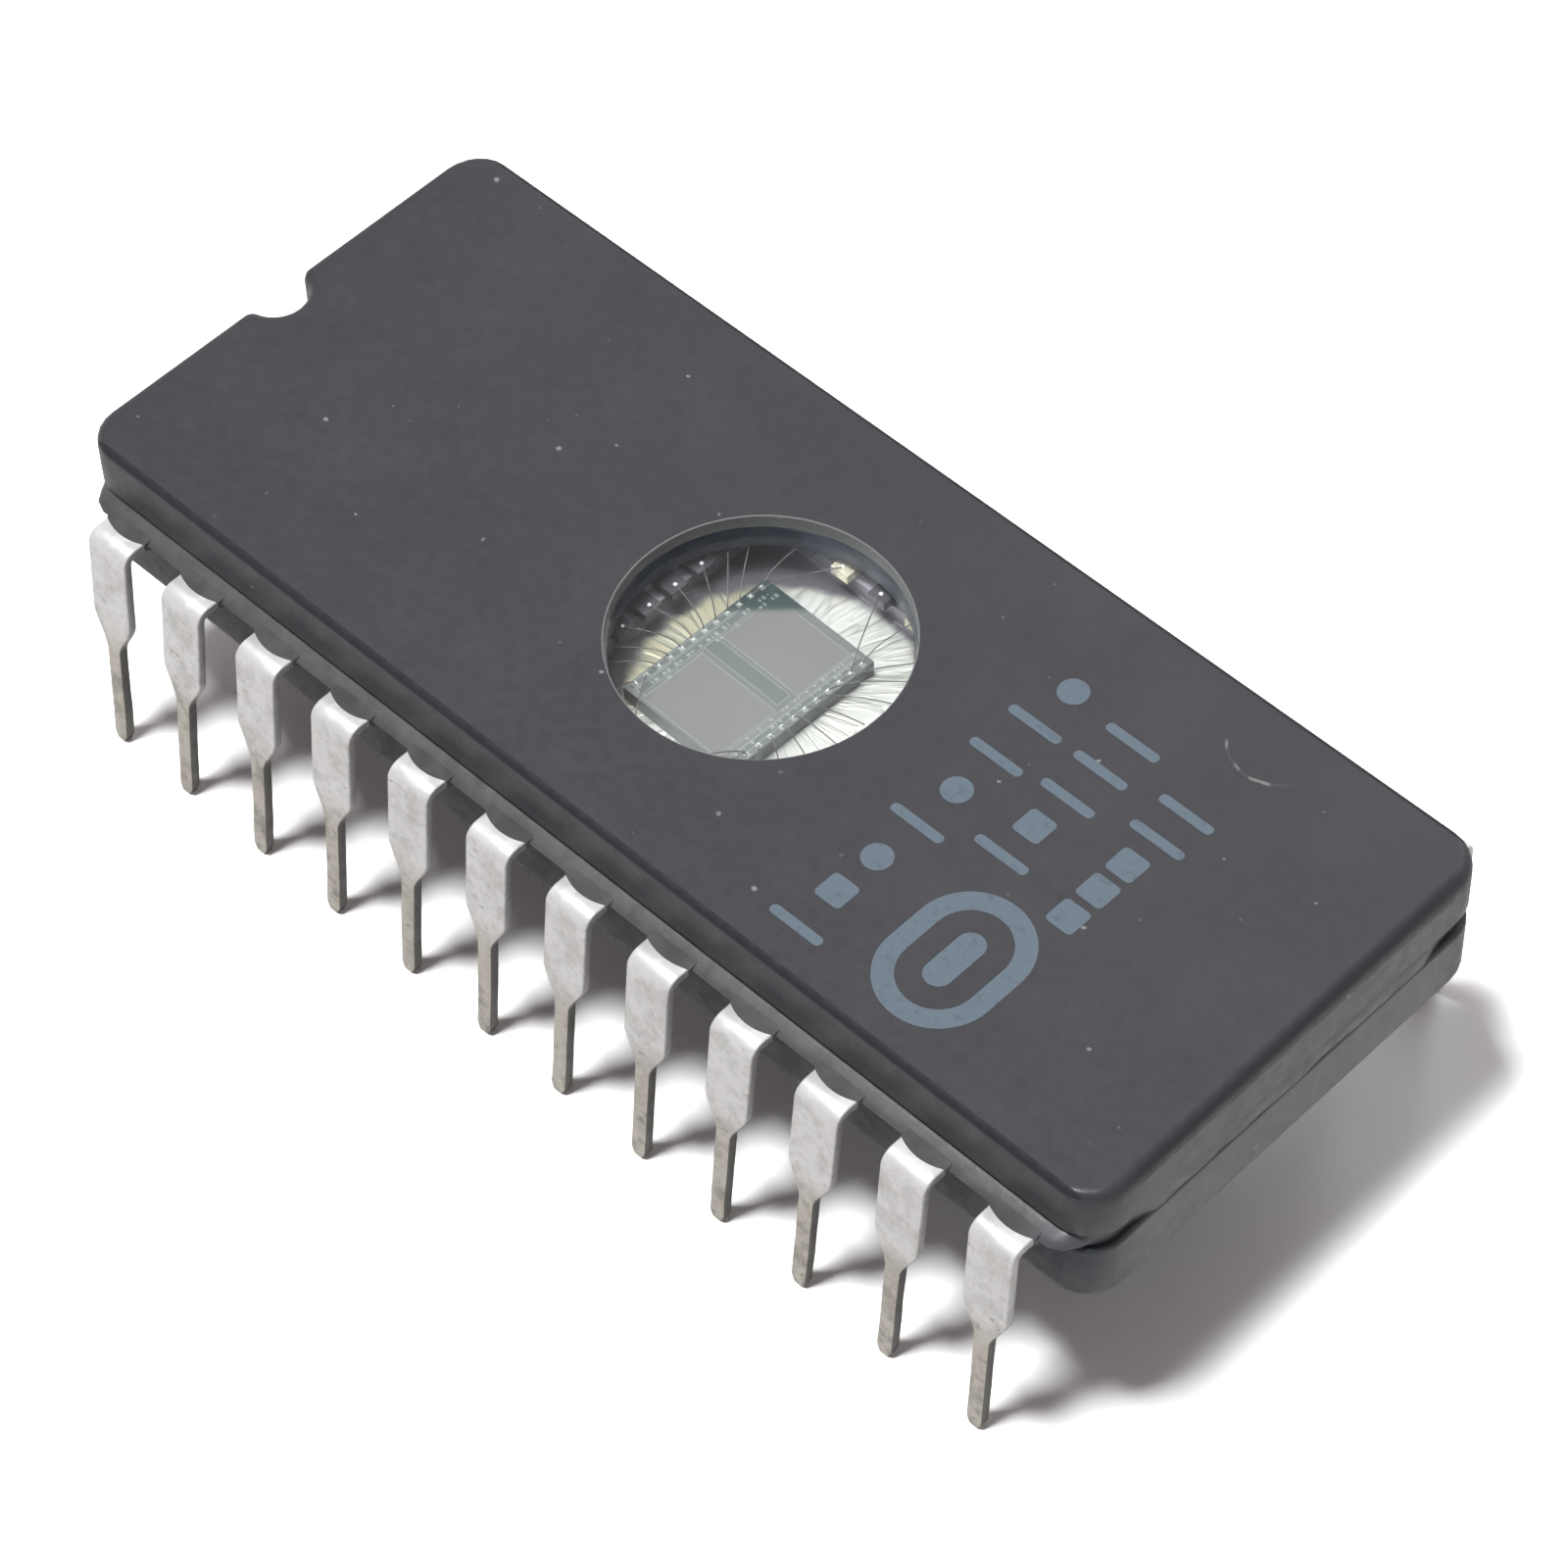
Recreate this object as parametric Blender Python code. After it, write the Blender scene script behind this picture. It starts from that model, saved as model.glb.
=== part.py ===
"""Windowed ceramic dual in-line package with 24 leads, as used for an ultraviolet-erasable memory chip.

Metres, +Z up. The package's length lies along X, with the index notch at -X, and its two rows of leads stand
at -Y and +Y. The lead tips stand on z = 0 and the origin is midway between the rows. Lead 1 is at the notch
on the -Y side, and the numbers run counter-clockwise seen from above.
"""

import math

import bmesh
import bpy
from mathutils import Matrix, Vector

# Lead rows
LEADS_PER_SIDE = 12
LEAD_PITCH = 0.00254
END_MARGIN = 0.00188  # from the middle of a row's last lead to the end of the ceramic

# Ceramic body
BODY_WIDTH = 0.0128
CORNER_RADIUS = 0.001
END_ROUND = 0.0003  # outer edges of cap and base, across the ends
SIDE_ROUND = 0.00015  # and along the long sides
JOINT_ROUND = 0.0001  # their edges at the seal
UNDERSIDE_HEIGHT = 0.00453  # base underside above the lead tips
BASE_THICKNESS = 0.0018
SEAL_GAP = 0.0005
CAP_THICKNESS = 0.0015
CLEARANCE = 0.00001  # between pieces that are fused or bonded on the real package

# Index notch in the -X end
NOTCH_RADIUS = 0.00078
NOTCH_LIP = 0.0003
NOTCH_OFFSET = -0.0002  # across the width, from the middle

# Window in the cap
WINDOW_DIAMETER = 0.00707
BORE_FLARE = 0.00002
LENS_RECESS = 0.00037
LENS_RIM_RISE = 0.00008
LENS_RIM_WIDTH = 0.0004
LENS_RIM_FOOT = 0.00002  # rise where the rim's steep part ends, a third of its width in

# Die cavity in the base
CAVITY_LENGTH = 0.0063
CAVITY_WIDTH = 0.0071
CAVITY_DEPTH = 0.00045
CAVITY_CORNER = 0.0008
CAVITY_OFFSET = -0.00015  # along the length, from the middle

# Metallised cavity floor and the die on it
FLOOR_METAL_THICKNESS = 0.00003
FLOOR_METAL_MARGIN = 0.00006
DIE_LENGTH = 0.0035
DIE_WIDTH = 0.0045
DIE_THICKNESS = 0.00042
DIE_OFFSET_X = -0.00015  # from the middle of the cavity
DIE_OFFSET_Y = -0.00013
DIE_YAW = -1.5  # degrees, as the die was set down

# Glass seal
SEAL_RECESS = 0.00018  # at both ends and round the corners
SEAL_BEAD = 0.00038  # how far the glass swells out past each long side
BEAD_FULLNESS = 0.8  # below 1 the bead's lower half is squarer than a wave
BEAD_SLOPE_POWER = 1.3  # at 1 the bead's upper half is a straight slope up to the cap
BEAD_WRAP_POWER = 6  # the higher, the sooner the bead dies out round a corner
SEAL_SETBACK = 0.0004  # from the cavity's edge to the glass

# Leads
LEAD_THICKNESS = 0.00025
LEAD_LIFT = 0.00008  # underside of the lead frame above the base
LEAD_WIDE = 0.00127
LEAD_NARROW = 0.00044
LEAD_NECK = 0.0008  # width where a finger turns off inside the glass
FINGER_WIDTH = 0.00052
BEND_RADIUS = 0.00038  # outer radius of the bend
SHOULDER_REACH = 0.00074  # from the ceramic's side to the start of the bend
SPLAY = 4.7  # degrees that the legs open outwards
NARROW_HEIGHT = 0.00315  # narrow part of a leg, from its tip
TAPER_HEIGHT = 0.00105
TIP_CHAMFER = 0.00007
TIP_CHAMFER_HEIGHT = 0.0001
LEG_DRIFT = 0.0001  # sideways drift of a handled leg's tip
DRIFT_PATTERN = (0.0, -2.0, -1.0, -1.0, -1.0, -1.0, -2.0, -1.5, -2.0, -2.0, -1.0, 0.5)

# Inner fingers round the cavity
FINGER_OVERHANG = 0.00028
FINGER_STRAIGHT = 0.0006
ROOT_INSET = 0.0007  # where a finger turns off, in from the ceramic's side
END_FINGER_MARGIN = 0.0014  # from the cavity's corner to the first finger on its long edge
SIDE_FINGER_MARGIN = 0.00055  # from the cavity's corner to the first finger on its short edge

# Bond wires
WIRE_RADIUS = 0.000016
PAD_INSET = 0.00012
PAD_MARGIN = 0.00025
BOND_INSET = 0.00015
LOOP_SHARE = 0.45  # height of a loop in the room between finger and window
LOOP_START_LEAN = 0.15  # share of the span that the loop leans out while it rises from the pad
LOOP_END_LEAN = 0.35  # share of the span over which it comes down to the finger
PAD_ORDER = (4, 5, 3, 2, 1, 0)  # lead column that each pad serves, from the die's corner inwards

# Facets
CORNER_STEPS = 6
ROUND_STEPS = 3
BORE_SEGMENTS = 64
BEND_STEPS = 7
TAPER_STEPS = 5
BEAD_STEPS = 8
WIRE_POINTS = 11
SMOOTH_ANGLE = 35.0  # degrees; sharper edges stay sharp

# Worked out from the sizes above
HALF_LENGTH = (LEADS_PER_SIDE - 1) * LEAD_PITCH / 2 + END_MARGIN
HALF_WIDTH = BODY_WIDTH / 2
BASE_TOP = UNDERSIDE_HEIGHT + BASE_THICKNESS
CAP_BOTTOM = BASE_TOP + SEAL_GAP
CAP_TOP = CAP_BOTTOM + CAP_THICKNESS
DIE_MIDDLE_X = CAVITY_OFFSET + DIE_OFFSET_X
CAVITY_FLOOR = BASE_TOP - CAVITY_DEPTH
DIE_BOTTOM = CAVITY_FLOOR + FLOOR_METAL_THICKNESS + 2 * CLEARANCE
DIE_TOP = DIE_BOTTOM + DIE_THICKNESS
LEAD_BOTTOM = BASE_TOP + LEAD_LIFT
LEAD_TOP = LEAD_BOTTOM + LEAD_THICKNESS
HALF_ROW = LEADS_PER_SIDE // 2
OUTER_ROUNDS = (END_ROUND, SIDE_ROUND)
JOINT_ROUNDS = (JOINT_ROUND, JOINT_ROUND)
EDGE_COLUMNS = LEADS_PER_SIDE // 3  # columns of a row whose fingers reach one short edge of the cavity


def clear_scene():
    """Remove whatever the open file holds."""
    for old in list(bpy.data.objects):
        bpy.data.objects.remove(old, do_unlink=True)


def make_material(name, color, roughness, metallic=0.0, transmission=0.0):
    """Return a Principled material."""
    material = bpy.data.materials.new(name)
    material.use_nodes = True
    shader = material.node_tree.nodes["Principled BSDF"]
    shader.inputs["Base Color"].default_value = (*color, 1.0)
    shader.inputs["Roughness"].default_value = roughness
    shader.inputs["Metallic"].default_value = metallic
    shader.inputs["Transmission Weight"].default_value = transmission
    return material


def add_object(name, mesh, material, parent, location=(0.0, 0.0, 0.0)):
    """Link a new object that carries the mesh and the material."""
    piece = bpy.data.objects.new(name, mesh)
    piece.location = location
    piece.parent = parent
    piece.data.materials.append(material)
    bpy.context.scene.collection.objects.link(piece)
    return piece


def arc(center, radii, start, end, steps):
    """Return the points of an elliptic arc; the angles are in degrees."""
    points = []
    for step in range(steps + 1):
        angle = math.radians(start + (end - start) * step / steps)
        points.append((center[0] + radii[0] * math.cos(angle), center[1] + radii[1] * math.sin(angle)))
    return points


def body_corner(sign_x, sign_y, grow, bead):
    """Return one corner of the package's plan, counter-clockwise, with the bead starting on its long side."""
    center_x = sign_x * (HALF_LENGTH - CORNER_RADIUS)
    center_y = sign_y * (HALF_WIDTH - CORNER_RADIUS)
    start = math.degrees(math.atan2(sign_y, sign_x)) - 45
    points = []
    for step in range(CORNER_STEPS + 1):
        angle = math.radians(start + 90 * step / CORNER_STEPS)
        swell = bead * abs(math.sin(angle)) ** BEAD_WRAP_POWER
        points.append((center_x + (CORNER_RADIUS + grow[0] + swell) * math.cos(angle),
                       center_y + (CORNER_RADIUS + grow[1] + swell) * math.sin(angle)))
    return points


def body_outline(grow, bead=0.0):
    """Return the package's plan, counter-clockwise from the +X +Y corner.

    It is grown or shrunk by a pair of amounts along X and Y, and a bead pushes the long sides out further.
    """
    lip_x = -HALF_LENGTH + NOTCH_LIP
    lip_radii = (NOTCH_LIP + grow[0], NOTCH_LIP + grow[0])
    lip_spread = math.sqrt((NOTCH_RADIUS + NOTCH_LIP) ** 2 - NOTCH_LIP ** 2)
    lip_turn = math.degrees(math.atan2(lip_spread, NOTCH_LIP))
    notch_radii = (NOTCH_RADIUS - grow[0], NOTCH_RADIUS - grow[0])
    points = body_corner(1, 1, grow, bead)
    points += body_corner(-1, 1, grow, bead)
    points += arc((lip_x, NOTCH_OFFSET + lip_spread), lip_radii, 180, 180 + lip_turn, CORNER_STEPS)
    notch = arc((-HALF_LENGTH, NOTCH_OFFSET), notch_radii, lip_turn, -lip_turn, 3 * CORNER_STEPS)
    points += notch[1:-1]
    points += arc((lip_x, NOTCH_OFFSET - lip_spread), lip_radii, 180 - lip_turn, 180, CORNER_STEPS)
    points += body_corner(-1, -1, grow, bead)
    points += body_corner(1, -1, grow, bead)
    return points


def rounded_rectangle(center, half_x, half_y, radius):
    """Return a rounded rectangle, counter-clockwise."""
    points = []
    for sign_x, sign_y, start in ((1, 1, 0), (-1, 1, 90), (-1, -1, 180), (1, -1, 270)):
        middle = (center[0] + sign_x * (half_x - radius), center[1] + sign_y * (half_y - radius))
        points += arc(middle, (radius, radius), start, start + 90, CORNER_STEPS)
    return points


def loft(rings):
    """Return a closed mesh through rings of as many points each, closed by a face at either end."""
    bm = bmesh.new()
    loops = [[bm.verts.new(point) for point in ring] for ring in rings]
    for lower, upper in zip(loops, loops[1:]):
        for index, vert in enumerate(lower):
            following = (index + 1) % len(lower)
            bm.faces.new((vert, lower[following], upper[following], upper[index]))
    bm.faces.new(list(reversed(loops[0])))
    bm.faces.new(loops[-1])
    bmesh.ops.recalc_face_normals(bm, faces=bm.faces)
    mesh = bpy.data.meshes.new("loft")
    bm.to_mesh(mesh)
    bm.free()
    return mesh


def smooth(piece):
    """Shade round faces smooth and keep the sharp edges."""
    piece.data.shade_smooth()
    piece.data.set_sharp_from_angle(angle=math.radians(SMOOTH_ANGLE))


def slab_mesh(bottom, top, bottom_rounds, top_rounds):
    """Return a ceramic plate with the package's plan and rounded edges.

    The rounds are pairs: how far an edge is rounded in across an end, which is also its height, and across
    a long side.
    """
    rings = []
    for step in range(ROUND_STEPS + 1):
        turn = math.radians(90 * step / ROUND_STEPS)
        share = 1 - math.sin(turn)
        outline = body_outline((-bottom_rounds[0] * share, -bottom_rounds[1] * share))
        height = bottom + bottom_rounds[0] * (1 - math.cos(turn))
        rings.append([(x, y, height) for x, y in outline])
    for step in range(ROUND_STEPS + 1):
        turn = math.radians(90 * step / ROUND_STEPS)
        share = 1 - math.cos(turn)
        outline = body_outline((-top_rounds[0] * share, -top_rounds[1] * share))
        height = top - top_rounds[0] * (1 - math.sin(turn))
        rings.append([(x, y, height) for x, y in outline])
    return loft(rings)


def prism_mesh(outline, bottom, top):
    """Return an upright prism."""
    return loft([[(x, y, height) for x, y in outline] for height in (bottom, top)])


def turned_mesh(profile):
    """Return a solid turned about Z from pairs of radius and height, bottom first."""
    rings = []
    for radius, height in profile:
        circle = arc((0.0, 0.0), (radius, radius), 0, 360, BORE_SEGMENTS)[:-1]
        rings.append([(x, y, height) for x, y in circle])
    return loft(rings)


def cut(target, name, cutter_mesh):
    """Subtract a hidden cutter from the target with an exact Boolean."""
    cutter = bpy.data.objects.new(name, cutter_mesh)
    cutter.display_type = "WIRE"
    cutter.hide_render = True
    cutter.parent = target.parent
    bpy.context.scene.collection.objects.link(cutter)
    modifier = target.modifiers.new(name, "BOOLEAN")
    modifier.operation = "DIFFERENCE"
    modifier.solver = "EXACT"
    modifier.object = cutter


def cavity_outline(margin):
    """Return the plan of the die cavity, grown by the margin."""
    half_x = CAVITY_LENGTH / 2 + margin
    half_y = CAVITY_WIDTH / 2 + margin
    return rounded_rectangle((CAVITY_OFFSET, 0.0), half_x, half_y, CAVITY_CORNER + margin)


def build_base(parent):
    """Pressed ceramic base with the die cavity in its top."""
    ceramic = make_material("base ceramic", (0.075, 0.078, 0.085), 0.5)
    plate = slab_mesh(UNDERSIDE_HEIGHT, BASE_TOP, OUTER_ROUNDS, JOINT_ROUNDS)
    base = add_object("base_ceramic", plate, ceramic, parent)
    cut(base, "cavity_cutter", prism_mesh(cavity_outline(0.0), CAVITY_FLOOR, BASE_TOP + CAVITY_DEPTH))
    smooth(base)


def build_cap(parent):
    """Pressed ceramic cap with the bore for the window."""
    ceramic = make_material("cap ceramic", (0.08, 0.078, 0.088), 0.45)
    plate = slab_mesh(CAP_BOTTOM, CAP_TOP, JOINT_ROUNDS, OUTER_ROUNDS)
    cap = add_object("cap_ceramic", plate, ceramic, parent)
    bore = WINDOW_DIAMETER / 2
    flared = bore + 2 * BORE_FLARE
    profile = [
        (bore, CAP_BOTTOM - CAP_THICKNESS),
        (bore, CAP_TOP - BORE_FLARE),
        (flared, CAP_TOP + BORE_FLARE),
    ]
    cut(cap, "window_cutter", turned_mesh(profile))
    smooth(cap)


def build_window(parent):
    """Clear disc fused into the bore, its rim drawn up the wall as glass does when it wets it."""
    glass = make_material("window glass", (0.95, 0.97, 0.97), 0.02, transmission=1.0)
    radius = WINDOW_DIAMETER / 2 - CLEARANCE
    face = CAP_TOP - LENS_RECESS
    profile = [
        (radius, CAP_BOTTOM),
        (radius, face + LENS_RIM_RISE),
        (radius - LENS_RIM_WIDTH / 3, face + LENS_RIM_FOOT),
        (radius - LENS_RIM_WIDTH, face),
    ]
    lens = add_object("window_lens", turned_mesh(profile), glass, parent)
    smooth(lens)


def bead_growth(share):
    """Return how far the glass of a long side stands out past that of the ends, at a share of its height.

    It curls under the leads in its lower half and slopes up to the cap's edge in its upper half.
    """
    root = SEAL_RECESS - JOINT_ROUND
    reach = SEAL_BEAD + JOINT_ROUND
    if share < 0.5:
        return root + reach * math.sin(math.pi * share) ** BEAD_FULLNESS
    return root + reach * (1 - (2 * share - 1) ** BEAD_SLOPE_POWER)


def build_seal(parent):
    """Glass frit between the plates, with a bead along each long side and a channel for each lead."""
    glass = make_material("seal glass", (0.12, 0.125, 0.13), 0.35)
    bottom = BASE_TOP + CLEARANCE
    height = SEAL_GAP - 2 * CLEARANCE
    rings = []
    for step in range(BEAD_STEPS + 1):
        share = step / BEAD_STEPS
        outline = body_outline((-SEAL_RECESS, -SEAL_RECESS), bead_growth(share))
        rings.append([(x, y, bottom + height * share) for x, y in outline])
    seal = add_object("seal_glass", loft(rings), glass, parent)
    cut(seal, "opening_cutter", prism_mesh(cavity_outline(SEAL_SETBACK), BASE_TOP - SEAL_GAP, CAP_TOP))
    cut(seal, "lead_cutter", channel_mesh())
    smooth(seal)


def build_floor_metal(parent):
    """Thin fired metal on the cavity floor, to which the die is bonded."""
    metal = make_material("floor metal", (0.85, 0.85, 0.82), 0.3, metallic=1.0)
    bottom = CAVITY_FLOOR + CLEARANCE
    mesh = prism_mesh(cavity_outline(-FLOOR_METAL_MARGIN), bottom, bottom + FLOOR_METAL_THICKNESS)
    add_object("cavity_metal", mesh, metal, parent)


def build_die(parent):
    """Silicon die, set down a little out of square."""
    silicon = make_material("silicon", (0.3, 0.31, 0.32), 0.25, metallic=0.6)
    bm = bmesh.new()
    bmesh.ops.create_cube(bm, size=1.0)
    bmesh.ops.scale(bm, vec=(DIE_LENGTH, DIE_WIDTH, DIE_THICKNESS), verts=bm.verts)
    mesh = bpy.data.meshes.new("die")
    bm.to_mesh(mesh)
    bm.free()
    place = (DIE_MIDDLE_X, DIE_OFFSET_Y, DIE_BOTTOM + DIE_THICKNESS / 2)
    die = add_object("die", mesh, silicon, parent, place)
    die.rotation_euler.z = math.radians(DIE_YAW)


def column_x(column):
    """Return the place along the length of a lead column, counted from the notch end."""
    return (column - (LEADS_PER_SIDE - 1) / 2) * LEAD_PITCH


def finger_end(side, column):
    """Return the point where a finger ends over the cavity, and the direction from there into the glass."""
    mirrored = min(column, LEADS_PER_SIDE - 1 - column)
    end = -1 if column < HALF_ROW else 1
    if mirrored < EDGE_COLUMNS:
        spacing = (CAVITY_WIDTH - 2 * SIDE_FINGER_MARGIN) / (2 * EDGE_COLUMNS - 1)
        reach = CAVITY_LENGTH / 2 - FINGER_OVERHANG
        return Vector((CAVITY_OFFSET + end * reach, side * spacing * (mirrored + 0.5))), Vector((end, 0.0))
    long_edge_fingers = LEADS_PER_SIDE - 2 * EDGE_COLUMNS
    spacing = (CAVITY_LENGTH - 2 * END_FINGER_MARGIN) / (long_edge_fingers - 1)
    offset = spacing * (column - (LEADS_PER_SIDE - 1) / 2)
    reach = CAVITY_WIDTH / 2 - FINGER_OVERHANG
    return Vector((CAVITY_OFFSET + offset, side * reach)), Vector((0.0, side))


def finger_path(side, column):
    """Return the plan of a lead's flat part as pairs of a point and a width, from its inner end outwards."""
    tip, outward = finger_end(side, column)
    root_y = side * (HALF_WIDTH - ROOT_INSET)
    return [
        (tip, FINGER_WIDTH),
        (tip + outward * FINGER_STRAIGHT, FINGER_WIDTH),
        (Vector((column_x(column), root_y)), LEAD_NECK),
        (Vector((column_x(column), side * HALF_WIDTH)), LEAD_WIDE),
    ]


def flat_sections(side, column, extra=0.0):
    """Return the cross-sections of a lead's flat part, mitred at its turns, with an allowance all round."""
    path = finger_path(side, column)
    low = LEAD_BOTTOM - extra
    high = LEAD_TOP + extra
    sections = []
    for index, (point, width) in enumerate(path):
        before = (point - path[index - 1][0]).normalized() if index else None
        after = (path[index + 1][0] - point).normalized() if index + 1 < len(path) else None
        ahead = ((before or after) + (after or before)).normalized()
        stretch = 1.0 / ahead.dot(after or before)
        across = Vector((-ahead.y, ahead.x)) * (width / 2 + extra) * stretch
        center = point - ahead * extra if index == 0 else point
        left = center + across
        right = center - across
        sections.append([(left.x, left.y, low), (right.x, right.y, low),
                         (right.x, right.y, high), (left.x, left.y, high)])
    return sections


def straight_section(x, y, side, half_width, low, high):
    """Return a section of the straight, level part of a lead."""
    left = x - side * half_width
    right = x + side * half_width
    return [(left, y, low), (right, y, low), (right, y, high), (left, y, high)]


def bend_sections(side, column):
    """Return the cross-sections round the bend, from level to the splayed leg."""
    middle_radius = BEND_RADIUS - LEAD_THICKNESS / 2
    center_z = LEAD_TOP - BEND_RADIUS
    x = column_x(column)
    sections = []
    for step in range(BEND_STEPS + 1):
        turn = math.radians((90 - SPLAY) * step / BEND_STEPS)
        ring = []
        for lateral, radius in ((-1, -1), (1, -1), (1, 1), (-1, 1)):
            out = middle_radius + radius * LEAD_THICKNESS / 2
            y = side * (HALF_WIDTH + SHOULDER_REACH + out * math.sin(turn))
            ring.append((x + side * lateral * LEAD_WIDE / 2, y, center_z + out * math.cos(turn)))
        sections.append(ring)
    return sections


def leg_stations():
    """Return pairs of height and width down the leg, below the bend."""
    stations = []
    for step in range(TAPER_STEPS + 1):
        share = step / TAPER_STEPS
        eased = share * share * (3 - 2 * share)
        width = LEAD_WIDE + (LEAD_NARROW - LEAD_WIDE) * eased
        stations.append((NARROW_HEIGHT + TAPER_HEIGHT * (1 - share), width))
    stations.append((TIP_CHAMFER_HEIGHT, LEAD_NARROW))
    stations.append((0.0, LEAD_NARROW - 2 * TIP_CHAMFER))
    return stations


def leg_sections(side, column):
    """Return the level cross-sections of the leg, which opens outwards and drifts a little sideways."""
    splay = math.radians(SPLAY)
    start_y = HALF_WIDTH + SHOULDER_REACH + (BEND_RADIUS - LEAD_THICKNESS / 2) * math.cos(splay)
    start_z = LEAD_TOP - BEND_RADIUS + (BEND_RADIUS - LEAD_THICKNESS / 2) * math.sin(splay)
    half_depth = LEAD_THICKNESS / 2 / math.cos(splay)
    drift = LEG_DRIFT * DRIFT_PATTERN[column if side < 0 else LEADS_PER_SIDE - 1 - column]
    sections = []
    for height, width in leg_stations():
        middle = start_y + (start_z - height) * math.tan(splay)
        x = column_x(column) + drift * (1 - height / start_z)
        left = x - side * width / 2
        right = x + side * width / 2
        inner = side * (middle - half_depth)
        outer = side * (middle + half_depth)
        sections.append([(left, inner, height), (right, inner, height),
                         (right, outer, height), (left, outer, height)])
    return sections


def lead_mesh(side, column):
    """Return one stamped and bent lead, from its inner finger to its outer tip."""
    sections = flat_sections(side, column) + bend_sections(side, column) + leg_sections(side, column)
    mesh = loft(sections)
    mesh.transform(Matrix.Translation((-column_x(column), -side * HALF_WIDTH, 0.0)))
    return mesh


def channel_mesh():
    """Return the room that all leads take up in the glass, as one cutter of separate bars."""
    bm = bmesh.new()
    for side in (-1, 1):
        for column in range(LEADS_PER_SIDE):
            sections = flat_sections(side, column, CLEARANCE)
            outside = side * (HALF_WIDTH + SHOULDER_REACH)
            sections.append(straight_section(column_x(column), outside, side, LEAD_WIDE / 2 + CLEARANCE,
                                             LEAD_BOTTOM - CLEARANCE, LEAD_TOP + CLEARANCE))
            bar = loft(sections)
            bm.from_mesh(bar)
            bpy.data.meshes.remove(bar)
    mesh = bpy.data.meshes.new("channels")
    bm.to_mesh(mesh)
    bm.free()
    return mesh


def lead_number(side, column):
    """Return the lead's number, counter-clockwise from the notch."""
    return column + 1 if side < 0 else 2 * LEADS_PER_SIDE - column


def build_leads(parent):
    """Two rows of tin-plated leads."""
    tin = make_material("tin plate", (0.75, 0.75, 0.73), 0.35, metallic=1.0)
    for side in (-1, 1):
        for column in range(LEADS_PER_SIDE):
            name = f"lead_{lead_number(side, column):02d}"
            place = (column_x(column), side * HALF_WIDTH, 0.0)
            lead = add_object(name, lead_mesh(side, column), tin, parent, place)
            smooth(lead)


def pad_point(side, column):
    """Return the middle of the bond pad, on the die's top, that serves a lead."""
    mirrored = min(column, LEADS_PER_SIDE - 1 - column)
    end = -1 if column < HALF_ROW else 1
    spacing = (DIE_WIDTH - 2 * PAD_MARGIN) / (LEADS_PER_SIDE - 1)
    from_corner = PAD_ORDER.index(mirrored)
    x = end * (DIE_LENGTH / 2 - PAD_INSET)
    y = side * (DIE_WIDTH / 2 - PAD_MARGIN - spacing * from_corner)
    on_die = Matrix.Rotation(math.radians(DIE_YAW), 4, "Z") @ Vector((x, y, 0.0))
    return Vector((DIE_MIDDLE_X, DIE_OFFSET_Y, DIE_TOP)) + on_die


def wire_points(side, column):
    """Return the points of a bond wire's loop, from its pad to its finger."""
    seat = Vector((0.0, 0.0, WIRE_RADIUS + CLEARANCE))
    tip, outward = finger_end(side, column)
    bond = tip + outward * BOND_INSET
    start = pad_point(side, column) + seat
    end = Vector((bond.x, bond.y, LEAD_TOP)) + seat
    peak = LEAD_TOP + LOOP_SHARE * (CAP_BOTTOM - LEAD_TOP)
    flat = Vector((end.x - start.x, end.y - start.y, 0.0))
    rise = Vector((start.x, start.y, 2 * peak - end.z)) + LOOP_START_LEAN * flat
    fall = Vector((end.x, end.y, peak)) - LOOP_END_LEAN * flat
    points = []
    for step in range(WIRE_POINTS):
        t = step / (WIRE_POINTS - 1)
        u = 1 - t
        points.append(u ** 3 * start + 3 * u * u * t * rise + 3 * u * t * t * fall + t ** 3 * end)
    return points


def build_bond_wires(parent):
    """One fine aluminium wire from the die to each lead."""
    aluminium = make_material("bond aluminium", (0.9, 0.9, 0.9), 0.2, metallic=1.0)
    for side in (-1, 1):
        for column in range(LEADS_PER_SIDE):
            number = lead_number(side, column)
            curve = bpy.data.curves.new(f"wire_{number:02d}", "CURVE")
            curve.dimensions = "3D"
            curve.bevel_depth = WIRE_RADIUS
            curve.bevel_resolution = 1
            curve.use_fill_caps = True
            points = wire_points(side, column)
            spline = curve.splines.new("POLY")
            spline.points.add(len(points) - 1)
            for target, point in zip(spline.points, points):
                target.co = (*point, 1.0)
            add_object(f"bond_wire_{number:02d}", curve, aluminium, parent)


def main():
    """Build the whole chip under one empty."""
    clear_scene()
    chip = bpy.data.objects.new("eprom_chip", None)
    bpy.context.scene.collection.objects.link(chip)
    build_base(chip)
    build_floor_metal(chip)
    build_die(chip)
    build_leads(chip)
    build_seal(chip)
    build_cap(chip)
    build_window(chip)
    build_bond_wires(chip)


main()
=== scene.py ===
"""Windowed ceramic memory chip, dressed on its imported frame, with the studio it is seen in.

Metres, +Z up. The package lies along X with its index notch at -X, and the lead tips stand on z = 0.
"""

import logging
import math
from dataclasses import dataclass
from enum import Enum

import bmesh
import bpy
from mathutils import Matrix, Vector, noise


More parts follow.
